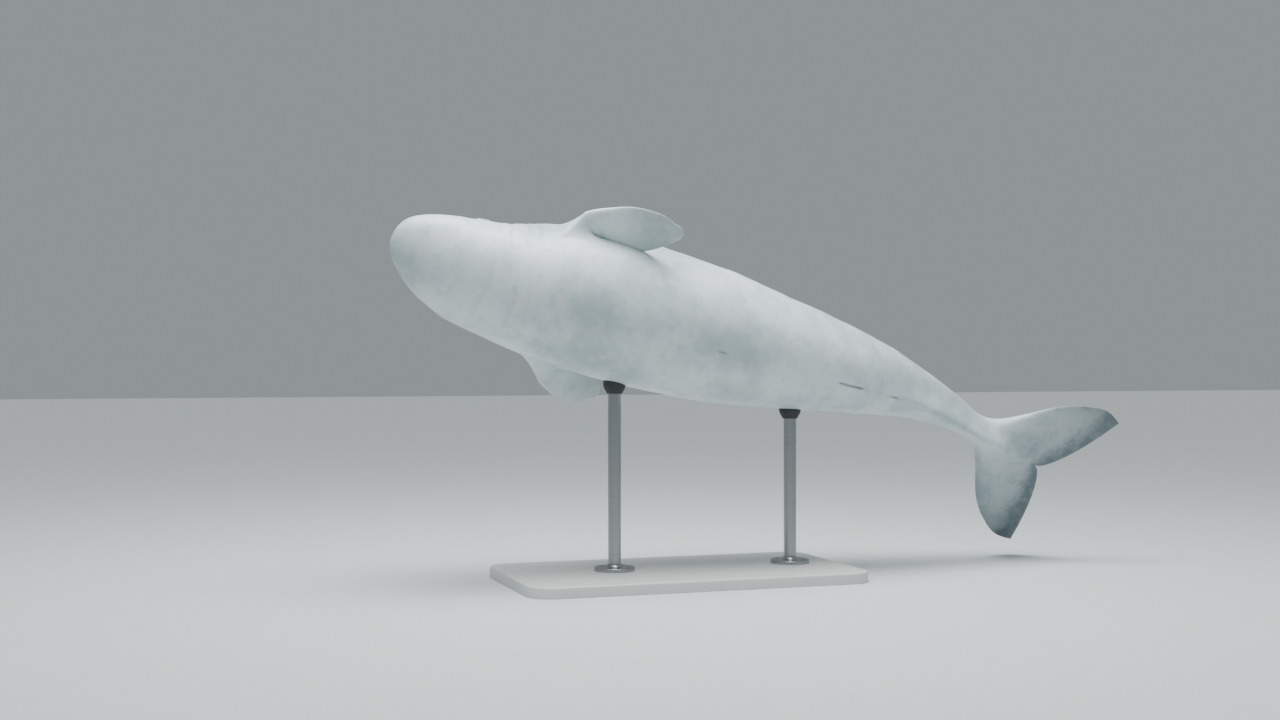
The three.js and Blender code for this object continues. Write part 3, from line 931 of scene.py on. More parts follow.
@dataclass
class Skin:
    """One closed skin over head, body, flippers and fluke.

    The body is a grid of stations and angles. Round each flipper a window is left out of the
    grid, and a patch of curved strips leads from its edge into the flipper's first section.
    """

    form: BodyForm = field(default_factory=BodyForm)
    mouth: Mouth = field(default_factory=Mouth)
    nose_end: float = 2.2
    nose_rows: int = 26
    patch_rows: int = 12
    patch_share: float = 14
    section_points: int = 36
    leave_pull: float = 1.5
    arrive_pull: float = 1.5
    smoothings: int = 40
    blade_rows: int = 40
    blade_crowding: float = 1.6
    fluke_dark: float = 0.55
    rear_edge_dark: float = 0.45
    front_edge_dark: float = 0.25
    snout_dark: float = 0.2

    def stations(self) -> Array:
        """Stations of the grid: dense in the head and at the eye, denser again in the fluke.

        Returns:
            Rising stations; in the nose they follow a square, so that its tip is round.
        """
        nose = self.nose_end * np.linspace(0.03, 1, self.nose_rows) ** 2
        rest = spaced(
            (self.nose_end, 8.9, 0.17), (8.9, 9.3, 0.1), (9.3, 10.5, 0.065), (10.5, 11.2, 0.12),
            (11.2, 21, 0.23), (21, 88, 0.56), (88, 94, 0.3), (94, 98.5, 0.24), (98.5, 100, 0.14),
        )
        return np.concatenate([nose, rest[1:]])

    def angles(self) -> Array:
        """Angles of the grid: dense at the mouth, the eyes and the crown.

        Returns:
            Rising angles, the same over and under the sides.
        """
        quarter = spaced(
            (0, 3, 0.5), (3, 5.5, 0.8), (5.5, 12.5, 0.5), (12.5, 17, 1.1), (17, 77, 2.4), (77, 90, 0.8)
        )
        half = np.concatenate([quarter, 180 - quarter[-2::-1]])
        return np.concatenate([half, 360 - half[-2:0:-1]])

    def raised(self, points: Array, station: Array, degrees: Array) -> tuple[Array, Array]:
        """Moves the grid's points along their normals by every feature's relief.

        Args:
            points: the smooth grid, rows of stations and columns of angles.
            station: the station of each point.
            degrees: the angle of each point.

        Returns:
            The moved grid and how dark each point is, from 0 to 1: painted shade in hollows and
            creases, and the darker tone round the eyes and on the fluke.
        """
        wrapped = np.concatenate([points[:, -1:], points, points[:, :1]], axis=1)
        normal = unit(np.cross(np.gradient(points, axis=0), wrapped[:, 2:] - wrapped[:, :-2]))
        high = np.sin(np.radians(degrees))
        _, reach = self.form.section(station, high)
        relief = self.mouth.relief(station, np.abs(high) * reach * PERCENT)
        # Painted shade in the mouth's groove.
        dark = painted_hollow_shade(relief, self.mouth.shade, self.mouth.painted_shade_depth)
        # Painted shade in the slits and the blowhole, and a darker tone round the eyes.
        for feature in FEATURES:
            stamp, shade = self.stamp(points, feature)
            relief = relief + stamp
            dark = np.maximum(dark, shade)
        for folds in FOLDS:
            creased = folds.relief(station, degrees)
            relief = relief + creased
            # Painted shade in the creases.
            dark = np.maximum(dark, painted_hollow_shade(creased, folds.shade, folds.painted_shade_depth))
        relief = relief + blubber(station, degrees)
        dark = np.maximum(dark, self.fluke_shade(station, degrees))
        return points + normal * relief[..., None], dark

    def stamp(self, points: Array, feature: Feature) -> tuple[Array, Array]:
        """Lays a feature on the skin by the distances along and round the body.

        Args:
            points: the smooth grid.
            feature: what is laid on it.

        Returns:
            The relief, faded to nothing at the feature's reach, and how dark it makes the skin:
            painted shade in its hollows, or the tone round an eye.
        """
        here, rear, turn, _ = self.form.frame_at(feature.station, feature.angle)
        off = points - here
        near = np.linalg.norm(off, axis=-1)
        fade = 1 - smooth_step(feature.fade_from * feature.reach, feature.reach, near)
        relief = feature.relief(off @ rear, off @ turn) * fade
        return relief, feature.darkness(relief, near)

    def fluke_shade(self, station: Array, degrees: Array) -> Array:
        """How dark the fluke is: more toward its rear edge, and on its front edges.

        Args:
            station: the station of each point.
            degrees: its angle.

        Returns:
            Values from 0 to 1.
        """
        share = self.form.fluke_share(station)
        whole = self.fluke_dark * smooth_step(0.05, 1, share)
        rear = self.rear_edge_dark * smooth_step(0.86, 1, share)
        sideways = np.abs(np.cos(np.radians(degrees))) ** 6
        front = self.front_edge_dark * sideways * smooth_step(0.1, 0.5, share)
        return np.clip(whole + rear + front, 0, 1)

    def window(
        self, flipper: Flipper, stations: Array, angles: Array
    ) -> tuple[slice, Array, tuple[Array, Array]]:
        """The window round a flipper's root.

        Args:
            flipper: the flipper.
            stations: the grid's stations.
            angles: the grid's angles.

        Returns:
            Rows and columns of the faces that are left out, and rows and columns of the points on
            the window's edge, in the order that faces the patch outward.
        """
        centre = flipper.degrees + flipper.turn_shift
        wide = np.concatenate([angles, angles + 360])
        top = int(np.argmin(np.abs(stations - (flipper.station - flipper.ahead))))
        bottom = int(np.argmin(np.abs(stations - (flipper.station + flipper.behind))))
        first = int(np.argmin(np.abs(angles - (centre - flipper.half_turn))))
        last = int(np.argmin(np.abs(wide - (centre + flipper.half_turn))))
        down = [(row, first) for row in range(top, bottom)]
        across = [(bottom, column) for column in range(first, last)]
        up = [(row, last) for row in range(bottom, top, -1)]
        back = [(top, column) for column in range(last, first, -1)]
        rows, columns = np.array(down + across + up + back).T
        count = len(angles)
        return slice(top, bottom), np.arange(first, last) % count, (rows, columns % count)

    def blade_turns(self, flipper: Flipper, edge: Array) -> Array:
        """Turns round the blade that match the window's edge.

        They are the angles of the edge's points, ahead and toward the belly, as seen from the
        middle of the blade's first section, with both distances over their range.

        Args:
            flipper: the flipper.
            edge: points of the window's edge.

        Returns:
            An angle in radians for each point.
        """
        whole = np.linspace(0, 2 * np.pi, self.section_points, endpoint=False)
        section = flipper.grid(self.form, np.array([self.patch_share]), whole)[0]
        rear, _, back = self.form.spine.directions(np.array(flipper.station))
        off = edge - section.mean(axis=0)
        forward, belly = off @ -rear, off @ -back
        return np.arctan2(belly / np.ptp(belly), forward / np.ptp(forward))

    def flipper_patch(
        self, flipper: Flipper, grid: Array, rows: Array, cols: Array
    ) -> tuple[Array, Array]:
        """The skin from the window's edge to the flipper's tip.

        The patch is a cubic between the edge, leaving it in the plane of the skin, and the
        flipper's section, arriving along the blade. The blade's own sections follow.

        Args:
            flipper: the flipper.
            grid: the body's raised grid.
            rows: rows of the window's edge.
            cols: columns of the window's edge.

        Returns:
            Rings of points without the edge itself, with the tip as last point, and how dark
            each point is.
        """
        columns = grid.shape[1]
        edge = grid[rows, cols]
        along = grid[rows + 1, cols] - grid[rows - 1, cols]
        across = grid[rows, (cols + 1) % columns] - grid[rows, (cols - 1) % columns]
        outward = unit(np.cross(along, across))
        turns = self.blade_turns(flipper, edge)
        left_over = 1 - np.linspace(0, 1, self.blade_rows + 1)[:-1]
        shares = 100 - (100 - self.patch_share) * left_over**self.blade_crowding
        blade = flipper.grid(self.form, shares, turns)
        arriving = unit(flipper.grid(self.form, shares[:1] + 1.0, turns)[0] - blade[0])
        gap = blade[0] - edge
        height = np.sum(gap * outward, axis=1, keepdims=True)
        leave = (gap - outward * height) * self.leave_pull
        arrive = arriving * np.abs(height) * self.arrive_pull
        t = np.linspace(0, 1, self.patch_rows + 1)[:-1, None, None]
        patch = (
            (2 * t**3 - 3 * t**2 + 1) * edge
            + (t**3 - 2 * t**2 + t) * leave
            + (3 * t**2 - 2 * t**3) * blade[0]
            + (t**3 - t**2) * arrive
        )
        strip = relaxed(np.concatenate([patch, blade[:1]]), self.smoothings)
        tip = flipper.grid(self.form, np.array([100.0]), turns).mean(axis=1)
        share = np.concatenate([np.zeros(self.patch_rows - 1), shares])[:, None]
        dark = flipper.darkness(share, turns)
        points = np.vstack([strip[1:-1].reshape(-1, 3), blade.reshape(-1, 3), tip])
        return points, np.append(dark.ravel(), dark[-1].mean())

    def patch_faces(self, edge: Array, rings: int, first: int) -> list[Array]:
        """Faces from the window's edge over a flipper's rings to its tip.

        Args:
            edge: vertex numbers of the window's edge.
            rings: number of the flipper's rings.
            first: number of the first ring's first point.

        Returns:
            Arrays of vertex numbers.
        """
        own = first + np.arange(rings * len(edge)).reshape(rings, len(edge))
        numbers = np.vstack([edge, own])
        a, b = numbers[:-1], numbers[1:]
        quads = np.stack([a, np.roll(a, -1, 1), np.roll(b, -1, 1), b], -1).reshape(-1, 4)
        return [quads, fan(first + own.size, own[-1])]

    def flipper_places(self, flipper: Flipper, rings: int, count: int) -> Array:
        """Places along and round a flipper, in metres, for the pattern of its skin.

        Args:
            flipper: the flipper.
            rings: number of its rings.
            count: number of points in a ring.

        Returns:
            A pair for each point of the rings, and one for the tip.
        """
        ring, point = np.meshgrid(np.arange(1, rings + 1), np.arange(count), indexing="ij")
        along = flipper.station * PERCENT + ring / rings * flipper.length
        spots = np.stack([along, point / count * FLIPPER_GIRTH], axis=-1).reshape(-1, 2)
        return np.vstack([spots, spots[-1:]])

    def end_faces(self, rows: int, columns: int, tip: int) -> list[Array]:
        """The fan at the snout, and the thin strip that closes the fluke's rear edge.

        Args:
            rows: number of the grid's rows.
            columns: number of its columns.
            tip: vertex number of the snout's tip.

        Returns:
            Arrays of vertex numbers.
        """
        last = (rows - 1) * columns + np.arange(columns)
        half = columns // 2
        over, under = last[1:half], last[:half:-1]
        strip = np.stack([over[:-1], under[:-1], under[1:], over[1:]], axis=-1)
        corners = np.array([[last[0], under[0], over[0]], [last[half], over[-1], under[-1]]])
        return [fan(tip, np.arange(columns)), strip, corners]

    def build(self) -> Piece:
        """Makes the skin's mesh, with how dark each point is and its place on the body.

        Returns:
            The skin.
        """
        stations, angles = self.stations(), self.angles()
        station, degrees = np.meshgrid(stations, angles, indexing="ij")
        grid, dark = self.raised(self.form.point(station, degrees), station, degrees)
        rows, columns = grid.shape[:2]
        keep = np.ones((rows - 1, columns), bool)
        points = [grid.reshape(-1, 3)]
        shade = [dark.ravel()]
        round_ = np.radians(degrees) * BODY_RADIUS
        place = [np.stack([station * PERCENT, round_], axis=-1).reshape(-1, 2)]
        blocks: list[Array] = []
        total = rows * columns
        for flipper in FLIPPERS:
            out_rows, out_cols, (at_rows, at_cols) = self.window(flipper, stations, angles)
            keep[out_rows, out_cols] = False
            strip, strip_dark = self.flipper_patch(flipper, grid, at_rows, at_cols)
            rings = len(strip) // len(at_rows)
            blocks += self.patch_faces(at_rows * columns + at_cols, rings, total)
            points.append(strip)
            shade.append(strip_dark)
            place.append(self.flipper_places(flipper, rings, len(at_rows)))
            total += len(strip)
        points.append(grid[:1].mean(axis=1))
        shade.append(np.array([self.snout_dark]))
        place.append(np.zeros((1, 2)))
        quads = ring_faces(rows, columns).reshape(rows - 1, columns, 4)[keep]
        faces = [quads, *blocks, *self.end_faces(rows, columns, total)]
        piece = new_object("skin", np.vstack(points), faces)
        # The shade layer: painted shade in the hollows and creases, and the darker tone round the eyes
        # and of the fluke and flippers.
        add_layer(piece, "shade", np.concatenate(shade))
        add_layer(piece, "place", np.pad(np.vstack(place), ((0, 0), (0, 1))))
        return piece


# Materials


def srgb(code: str) -> tuple[float, float, float, float]:
    """A colour written as sRGB hex, made linear.

    Args:
        code: a hash sign and six hex digits.

    Returns:
        Linear red, green and blue, and alpha at one.
    """
    parts = np.array([int(code[i:i + 2], 16) for i in (1, 3, 5)]) / 255
    linear = np.where(parts <= 0.04045, parts / 12.92, ((parts + 0.055) / 1.055) ** 2.4)
    return (*linear.tolist(), 1.0)


def add_node(
    tree: Tree, kind: str, settings: dict | None = None, inputs: dict | None = None,
    output: int | str = 0,
) -> Socket:
    """Adds a node to a material and links it.

    Args:
        tree: the material's node tree.
        kind: the node type's name, without its first word ShaderNode.
        settings: the node's own settings.
        inputs: by name or number of an input, its value or the output socket linked to it.
        output: name or number of the output that is wanted.

    Returns:
        The socket of that output.
    """
    node = tree.nodes.new(f"ShaderNode{kind}")
    for name, value in (settings or {}).items():
        setattr(node, name, value)
    for name, value in (inputs or {}).items():
        if isinstance(value, Socket):
            tree.links.new(value, node.inputs[name])
        else:
            node.inputs[name].default_value = value
    return node.outputs[output]


def new_material(name: str, sockets: dict) -> tuple[Material, Tree, bpy.types.Node]:
    """Makes a node material and sets the even values of its surface.

    Args:
        name: what the real material is.
        sockets: values by name of the surface shader's inputs.

    Returns:
        The material, its tree and its surface shader.
    """
    material = bpy.data.materials.new(name)
    material.use_nodes = True
    surface = material.node_tree.nodes["Principled BSDF"]
    for socket, value in sockets.items():
        surface.inputs[socket].default_value = value
    return material, material.node_tree, surface


def noise(tree: Tree, coords: Socket, size_mm: float, detail: float, roughness: float = 0.5) -> Socket:
    """Noise whose largest blots are about the size given."""
    inputs = {"Vector": coords, "Scale": 1 / (size_mm * MM), "Detail": detail, "Roughness": roughness}
    return add_node(tree, "TexNoise", inputs=inputs)


def ranged(
    tree: Tree, value: Socket, low: float, high: float, start: float = 0, end: float = 1
) -> Socket:
    """Carries a value from low..high to start..end, with smooth ends."""
    inputs = {"Value": value, "From Min": low, "From Max": high, "To Min": start, "To Max": end}
    return add_node(tree, "MapRange", {"interpolation_type": "SMOOTHSTEP"}, inputs)


def blend(tree: Tree, amount: Socket, low: object, high: str) -> Socket:
    """Mixes a colour or a colour's socket with a second colour, written as hex."""
    first = srgb(low) if isinstance(low, str) else low
    return add_node(tree, "Mix", {"data_type": "RGBA"}, {0: amount, 6: first, 7: srgb(high)}, 2)


def product(tree: Tree, value: Socket, factor: object) -> Socket:
    """Multiplies a value by a number or by another value."""
    return add_node(tree, "Math", {"operation": "MULTIPLY"}, {0: value, 1: factor})


@dataclass(frozen=True)
class WhaleSkin:
    """Wet, rubbery whale skin: pale grey-white, softly mottled, with fine rake marks.

    It is smooth with a thin wet film, so highlights are broad and soft; the young animal's skin
    is cooler and greyer than a grown one's, and darker on the flukes' and flippers' edges. Shade
    is painted into its hollows and creases.
    """

    pale: str = "#D0DDDF"
    middle: str = "#A5B6BB"
    dark: str = "#5E6C72"
    warm: str = "#D8D6CC"
    mottle_mm: float = 260
    blotch_mm: float = 38
    rake_mm: float = 9
    rake_patch_mm: float = 70
    rake_slant: float = 24
    rake_tone: float = 0.4
    grain_mm: float = 3.2
    wet_film: float = 0.18

    def build(self) -> Material:
        """Makes the skin: soft mottling, then blotches, rake marks and the dark parts with painted shade.

        Returns:
            The material.
        """
        material, tree, surface = new_material(
            "whale_skin", {"IOR": 1.4, "Coat Weight": self.wet_film, "Coat Roughness": 0.22}
        )
        coords = add_node(tree, "TexCoord", output="Object")
        shade = add_node(tree, "Attribute", {"attribute_name": "shade"}, output="Fac")
        place = add_node(tree, "Attribute", {"attribute_name": "place"}, output="Vector")
        mottle = noise(tree, coords, self.mottle_mm, 4, 0.55)
        blotch = noise(tree, coords, self.blotch_mm, 5, 0.6)
        grain = noise(tree, coords, self.grain_mm, 3)
        rakes = self.rakes(tree, place, mottle)
        tone = blend(tree, ranged(tree, mottle, 0.34, 0.7), self.pale, self.middle)
        tone = blend(tree, ranged(tree, blotch, 0.5, 0.72, 0, 0.5), tone, self.middle)
        tone = blend(tree, ranged(tree, blotch, 0.5, 0.26, 0, 0.45), tone, self.warm)
        tone = blend(tree, product(tree, rakes, self.rake_tone), tone, self.pale)
        # The dark parts are the shade layer: painted shade in the hollows and creases, and the darker
        # tone round the eyes and of fluke and flippers. It is made a little uneven by a share of itself.
        wander = ranged(tree, blotch, 0.3, 0.75, -0.12, 0.12)
        settings = {"operation": "MULTIPLY_ADD", "use_clamp": True}
        uneven = add_node(tree, "Math", settings, {0: wander, 1: shade, 2: shade})
        tone = blend(tree, uneven, tone, self.dark)
        normal: dict[str, Socket] = {}
        for height, strength, depth_mm in ((blotch, 0.35, 2.2), (rakes, 0.35, -0.7), (grain, 0.5, 0.45)):
            bump = {"Height": height, "Strength": strength, "Distance": depth_mm * MM}
            normal = {"Normal": add_node(tree, "Bump", inputs=bump | normal)}
        tree.links.new(tone, surface.inputs["Base Color"])
        tree.links.new(ranged(tree, blotch, 0.25, 0.75, 0.34, 0.48), surface.inputs["Roughness"])
        tree.links.new(normal["Normal"], surface.inputs["Normal"])
        return material

    def rakes(self, tree: Tree, place: Socket, mottle: Socket) -> Socket:
        """Rake marks: groups of fine side-by-side scratches, only in scattered patches.

        Thin crests of a slanting wave are kept where a drawn-out noise and the mottle are high.

        Args:
            tree: the material's node tree.
            place: the place along and round the body, in metres.
            mottle: the large, soft noise.

        Returns:
            The strength of the marks, from 0 to 1.
        """
        turn = (0, 0, math.radians(self.rake_slant))
        slanted = add_node(tree, "Mapping", inputs={"Vector": place, "Rotation": turn})
        # At scale one the wave has a crest every 0.314 m.
        scale = 0.314 / (self.rake_mm * MM)
        bands = {"Vector": slanted, "Scale": scale, "Distortion": 1.6, "Detail Scale": 0.3}
        wave = add_node(tree, "TexWave", {"bands_direction": "Y"}, bands, "Fac")
        drawn = add_node(tree, "Mapping", inputs={"Vector": slanted, "Scale": (1.0, 3.2, 1.0)})
        patches = noise(tree, drawn, self.rake_patch_mm, 2)
        lines = product(tree, ranged(tree, wave, 0.86, 0.99), ranged(tree, patches, 0.6, 0.68))
        return product(tree, lines, ranged(tree, mottle, 0.42, 0.56))


@dataclass(frozen=True)
class EyeSurface:
    """A wet, dark brown eye: glossy cornea over a brown iris and a wide dark pupil."""

    pupil: str = "#0A0808"
    iris: str = "#2C1F17"
    rim: str = "#120D0B"

    def build(self) -> Material:
        """Makes the eye's material: rings by the share of the way from its front to its side.

        Returns:
            The material.
        """
        material, tree, surface = new_material(
            "wet_eye", {"Roughness": 0.12, "IOR": 1.38, "Coat Weight": 0.8, "Coat Roughness": 0.03}
        )
        ring = add_node(tree, "Attribute", {"attribute_name": "ring"}, output="Fac")
        tone = blend(tree, ranged(tree, ring, 0.26, 0.34), self.pupil, self.iris)
        tone = blend(tree, ranged(tree, ring, 0.5, 0.66), tone, self.rim)
        tree.links.new(tone, surface.inputs["Base Color"])
        return material


@dataclass(frozen=True)
class BrushedSteel:
    """Stainless steel, brushed round its length: a soft, drawn-out sheen."""

    tone: str = "#A7A9AB"
    line_mm: float = 2.5

    def build(self) -> Material:
        """Makes the steel's material; the brushing is coarser than real so that it shows.

        Returns:
            The material.
        """
        material, tree, surface = new_material(
            "brushed_steel", {"Base Color": srgb(self.tone), "Metallic": 1.0}
        )
        coords = add_node(tree, "TexCoord", output="Object")
        drawn = add_node(tree, "Mapping", inputs={"Vector": coords, "Scale": (0.01, 0.01, 1.0)})
        lines = noise(tree, drawn, self.line_mm, 3)
        bump = add_node(tree, "Bump", inputs={"Strength": 0.05, "Distance": 0.05 * MM, "Height": lines})
        tree.links.new(ranged(tree, lines, 0.3, 0.7, 0.27, 0.34), surface.inputs["Roughness"])
        tree.links.new(bump, surface.inputs["Normal"])
        return material


@dataclass(frozen=True)
class Coating:
    """A sprayed or moulded matt finish: an even colour with a faint orange-peel surface."""

    name: str
    tone: str
    second: str
    roughness: float
    peel_mm: float
    depth_mm: float
    wear_mm: float = 200

    def build(self) -> Material:
        """Makes the coating: worn patches change its colour and its sheen a little.

        Returns:
            The material.
        """
        material, tree, surface = new_material(self.name, {})
        coords = add_node(tree, "TexCoord", output="Object")
        peel = noise(tree, coords, self.peel_mm, 2)
        wear = noise(tree, coords, self.wear_mm, 6)
        tone = blend(tree, ranged(tree, wear, 0.42, 0.72, 0, 0.5), self.tone, self.second)
        sheen = ranged(tree, wear, 0.35, 0.7, self.roughness - 0.05, self.roughness + 0.07)
        relief = {"Strength": 0.2, "Distance": self.depth_mm * MM, "Height": peel}
        tree.links.new(tone, surface.inputs["Base Color"])
        tree.links.new(sheen, surface.inputs["Roughness"])
        tree.links.new(add_node(tree, "Bump", inputs=relief), surface.inputs["Normal"])
        return material


# The eyes


@dataclass
class Eyes:
    """Two eyeballs set behind the lids."""

    form: BodyForm
    radius: float = 14.6 * MM
    sunk: float = 8.4 * MM
    columns: int = 40
    rows: int = 24

    def build(self, name: str, lids: Eyelids) -> Piece:
        """A ball with its pole facing out: rings by the angle from the pole, closed at both ends.

        Args:
            name: the piece's name.
            lids: the lids that it is set behind.

        Returns:
            The eyeball, with how far each point is from its front.
        """
        here, rear, turn, outward = self.form.frame_at(lids.station, lids.angle)
        polar = np.linspace(0, np.pi, self.rows + 2)[1:-1]
        sideways = circle(self.columns) @ np.stack([rear, turn])
        grid = np.cos(polar)[:, None, None] * outward + np.sin(polar)[:, None, None] * sideways
        ball = self.radius * np.vstack([grid.reshape(-1, 3), outward, -outward])
        centre = here - outward * self.sunk
        piece = new_object(name, centre + ball, closed_faces(self.rows, self.columns))
        add_layer(piece, "ring", 2 * np.append(np.repeat(polar / np.pi, self.columns), [0, 1]))
        return piece


# The stand


@dataclass
class Base:
    """A flat board with round corners and rounded edges."""

    corner: float = 90 * MM
    corner_sides: int = 96
    edge: float = 6 * MM

    def build(self) -> Piece:
        """One outline of four quarter circles, which each row of a profile insets and lifts.

        Returns:
            The board.
        """
        low, high = (np.array(corner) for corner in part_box("stand_base"))
        height = high[2] - low[2]
        arc = circle(self.corner_sides, math.pi / (2 * self.corner_sides))
        middle = (high + low)[:2] / 2 + np.sign(arc) * ((high - low)[:2] / 2 - self.corner)
        flat = self.edge * 2
        corners = [(flat, 0, 0), (0, 0, self.edge / 3), (0, height, self.edge), (flat, height, 0)]
        outlines = [
            (middle + arc * (self.corner - inset), low[2] + z) for inset, z in rounded_profile(corners, 5)
        ]
        points, faces = stacked(outlines)
        return new_object("display_base", points, faces, sharp=True)


@dataclass
class Support:
    """A round rod on a screwed foot, under a soft saddle that is sunk a little in the skin."""

    form: BodyForm
    label: str
    station: float
    rod_radius: float = 24 * MM
    foot_radius: float = 75 * MM
    foot_height: float = 14 * MM
    fillet: float = 16 * MM
    saddle_radius: float = 42 * MM
    saddle_height: float = 34 * MM
    saddle_wall: float = 4 * MM
    shoulder: float = 8 * MM
    shoulder_round: float = 10 * MM
    sunk: float = 16 * MM
    end_radius: float = 10 * MM
    bevel: float = 0.5 * MM
    screw_ring: float = 0.72
    screw_sides: int = 24

    @property
    def floor(self) -> float:
        """The height of the base's upper side."""
        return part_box("stand_base")[1][2]

    def skin_below(self) -> tuple[Array, float]:
        """Where the rod meets the skin: under the spine's point, at the skin's lowest height there.

        Returns:
            The rod's axis as x and y, and the height.
        """
        axis = self.form.spine.points(np.array(self.station))[:2]
        stations = np.linspace(self.station - 3, self.station + 3, 25)[:, None]
        around = self.form.point(stations, np.arange(140.0, 240.0, 2.0))
        near = np.linalg.norm(around[..., :2] - axis, axis=-1) < self.rod_radius
        return axis, float(around[..., 2][near].min())

    def rod(self) -> Piece:
        """A foot, a short fillet and a straight shaft, turned in one piece.

        Returns:
            The rod.
        """
        axis, skin = self.skin_below()
        foot, top = self.floor + self.foot_height, skin - self.saddle_height / 2
        corners = [
            (2 * self.end_radius, self.floor, 0), (self.foot_radius, self.floor, self.bevel),
            (self.foot_radius, foot, 6 * self.bevel), (self.rod_radius, foot, self.fillet),
            (self.rod_radius, top, self.bevel), (self.end_radius, top, 0),
        ]
        return lathe(f"{self.label}_rod", corners, axis, 7)

    def saddle(self) -> Piece:
        """A rubber cup between rod and skin.

        Returns:
            The saddle.
        """
        axis, skin = self.skin_below()
        low, top = skin - self.saddle_height, skin + self.sunk
        corners = [
            (self.rod_radius * 0.9, low, 0), (self.rod_radius + self.saddle_wall, low, 4 * self.bevel),
            (self.saddle_radius, skin - self.shoulder, self.shoulder_round),
            (self.saddle_radius, top, 2 * self.bevel), (self.end_radius, top, 0),
        ]
        return lathe(f"{self.label}_saddle", corners, axis, 6)

    def screws(self) -> Piece:
        """Four screw heads in the foot, with a hexagon socket each, as one mesh.

        A row of a head has a radius and a height in millimetres. The hexagon is the circle over
        the cosine of the turn from the middle of its side.

        Returns:
            The screws.
        """
        axis, _ = self.skin_below()
        ring = circle(self.screw_sides)
        turn = np.linspace(0, 2 * np.pi, self.screw_sides, endpoint=False)
        hexagon = ring / np.cos((turn + np.pi / 6) % (np.pi / 3) - np.pi / 6)[:, None]
        head = (
            (8.0, 0.0, ring), (8.0, 1.2, ring), (7.2, 1.8, ring), (3.4, 1.8, hexagon),
            (3.1, 0.3, hexagon),
        )
        points: list[Array] = []
        faces: list[Array] = []
        for spot in axis + self.screw_ring * self.foot_radius * circle(4, math.pi / 4):
            outlines = [
                (spot + radius * MM * outline, self.floor + self.foot_height + z * MM)
                for radius, z, outline in head
            ]
            rows, blocks = stacked(outlines, sum(map(len, points)))
            points.append(rows)
            faces += blocks
        return new_object(f"{self.label}_foot_screws", np.vstack(points), faces, smooth=False)


# Floor, light and camera


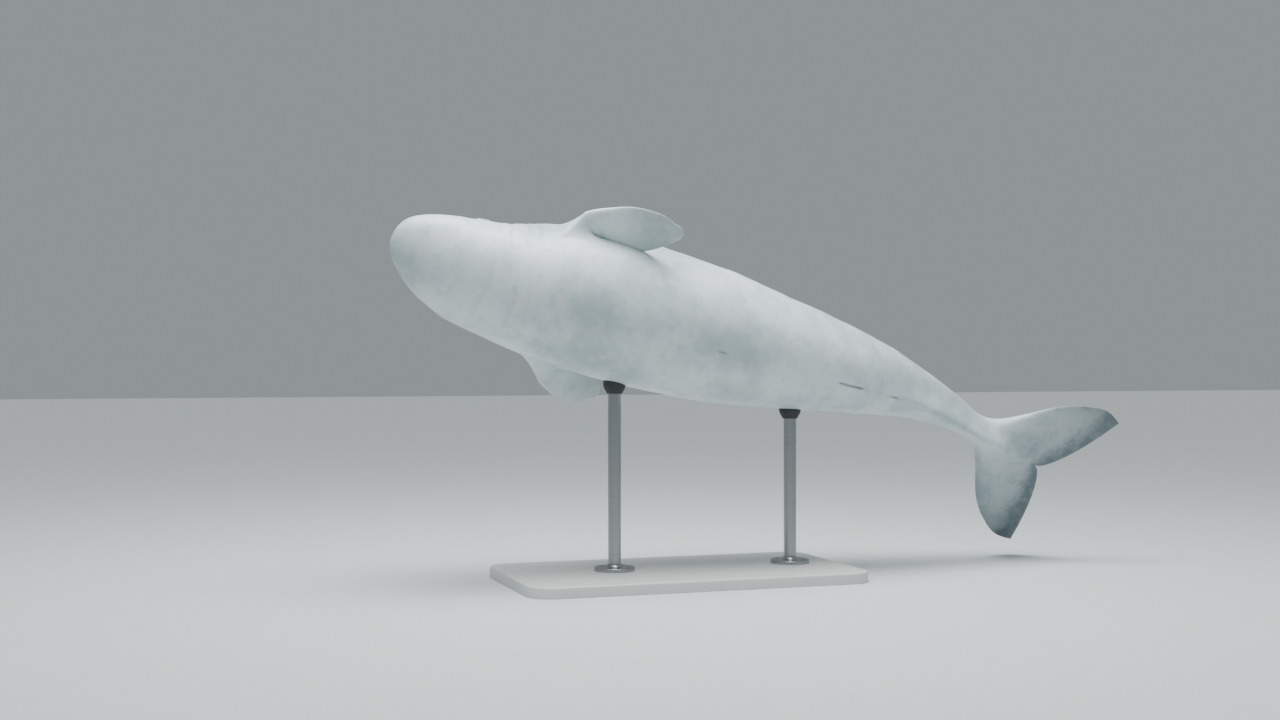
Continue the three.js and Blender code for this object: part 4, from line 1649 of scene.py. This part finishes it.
@dataclass(frozen=True)
class Studio:
    """A plain pale floor, soft light from above and a camera at the photograph's angle."""

    floor_size: float = 60
    floor_cells: int = 8
    camera_place: Triple = (-2.075, -5.603, 0.817)
    camera_azimuth: float = -19
    focal_pixels: float = 1600
    frame_pixels: float = 1280
    sensor_mm: float = 36
    lamp_place: Triple = (-0.3, -0.5, 4.2)
    lamp_target: Triple = (0.3, 0.0, 0.9)
    lamp_size: float = 2.6
    lamp_watts: float = 300
    glow_strength: float = 1.7
    glow_spread: float = 50
    glow_turn: Triple = (12, -10, 0)
    sky: str = "#D8E3E6"
    sky_strength: float = 0.42

    def floor(self) -> Piece:
        """One large flat sheet, a grid of a few squares, at the height of the base's underside.

        Returns:
            The floor.
        """
        count = self.floor_cells + 1
        line = np.linspace(-self.floor_size / 2, self.floor_size / 2, count)
        x, y = np.meshgrid(line, line, indexing="ij")
        points = np.stack([x, y, np.zeros_like(x)], axis=-1)
        a = np.arange(count * count).reshape(count, count)[:-1, :-1].ravel()
        faces = np.stack([a, a + count, a + count + 1, a + 1], axis=-1)
        piece = new_object("studio_floor", points, [faces])
        paint = Coating("floor_paint", "#C6CBCC", "#C1C7C8", roughness=0.8, peel_mm=9, depth_mm=0.2)
        piece.data.materials.append(paint.build())
        return piece

    def lights(self) -> None:
        """A wide soft light overhead, a broad glow from above and an even pale sky."""
        lamp = bpy.data.lights.new("overhead", "AREA")
        lamp.size = self.lamp_size
        lamp.energy = self.lamp_watts
        toward = Vector(self.lamp_target) - Vector(self.lamp_place)
        placed("overhead", lamp, self.lamp_place, toward.to_track_quat("-Z", "Y").to_euler())
        glow = bpy.data.lights.new("glow_from_above", "SUN")
        glow.energy = self.glow_strength
        glow.angle = math.radians(self.glow_spread)
        placed("glow_from_above", glow, turn=tuple(math.radians(turn) for turn in self.glow_turn))
        world = bpy.data.worlds.new("studio_sky")
        world.use_nodes = True
        background = world.node_tree.nodes["Background"]
        background.inputs["Color"].default_value = srgb(self.sky)
        background.inputs["Strength"].default_value = self.sky_strength
        bpy.context.scene.world = world

    def camera(self) -> None:
        """A level camera at the photograph's place, with its field of view."""
        data = bpy.data.cameras.new("camera")
        data.sensor_width = self.sensor_mm
        data.lens = self.focal_pixels / self.frame_pixels * self.sensor_mm
        data.dof.use_dof = False
        turn = (math.pi / 2, 0, math.radians(self.camera_azimuth))
        bpy.context.scene.camera = placed("camera", data, self.camera_place, turn)


FLESH_NODES = (
    "head", "lower_jaw", "neck", "torso_front", "torso_middle", "torso_rear", "tail_front",
    "tail_stock", "fluke_left", "fluke_right", "flipper_left", "flipper_right",
)
SUPPORTS = (("front", 31), ("rear", 57))


def main() -> None:
    """Builds the studio, the skin, the eyes and the stand, in that order."""
    logging.basicConfig(level=logging.INFO, format="%(message)s")
    studio = Studio()
    studio.camera()
    studio.floor()
    studio.lights()

    skin = Skin()
    hide = skin.build()
    finish_piece(hide, WhaleSkin().build())
    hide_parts(*FLESH_NODES)
    log.info("skin: %d faces", len(hide.data.polygons))

    eye_surface = EyeSurface().build()
    eyes = Eyes(skin.form)
    for name, lids in zip(("left", "right"), LIDS):
        ball = eyes.build(f"{name}_eyeball", lids)
        finish_piece(ball, eye_surface)
        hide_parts(f"eye_{name}")
        log.info("%s", ball.name)

    base = Base().build()
    lacquer = Coating("satin_lacquer", "#C9CBC9", "#BFC2C1", roughness=0.38, peel_mm=2.2, depth_mm=0.06)
    finish_piece(base, lacquer.build())
    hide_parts("stand_base")
    log.info("%s", base.name)

    steel = BrushedSteel().build()
    soft = Coating("saddle_rubber", "#2B2E31", "#34383B", roughness=0.7, peel_mm=1.2, depth_mm=0.1)
    rubber = soft.build()
    for label, station in SUPPORTS:
        support = Support(skin.form, label, station)
        rod = support.rod()
        finish_piece(rod, steel)
        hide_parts(f"stand_rod_{label}")
        saddle = support.saddle()
        finish_piece(saddle, rubber)
        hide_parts(f"stand_saddle_{label}")
        screws = support.screws()
        finish_piece(screws, steel)
        log.info("%s rod, saddle and screws", label)


if __name__ == "__main__":
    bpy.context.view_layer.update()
    main()
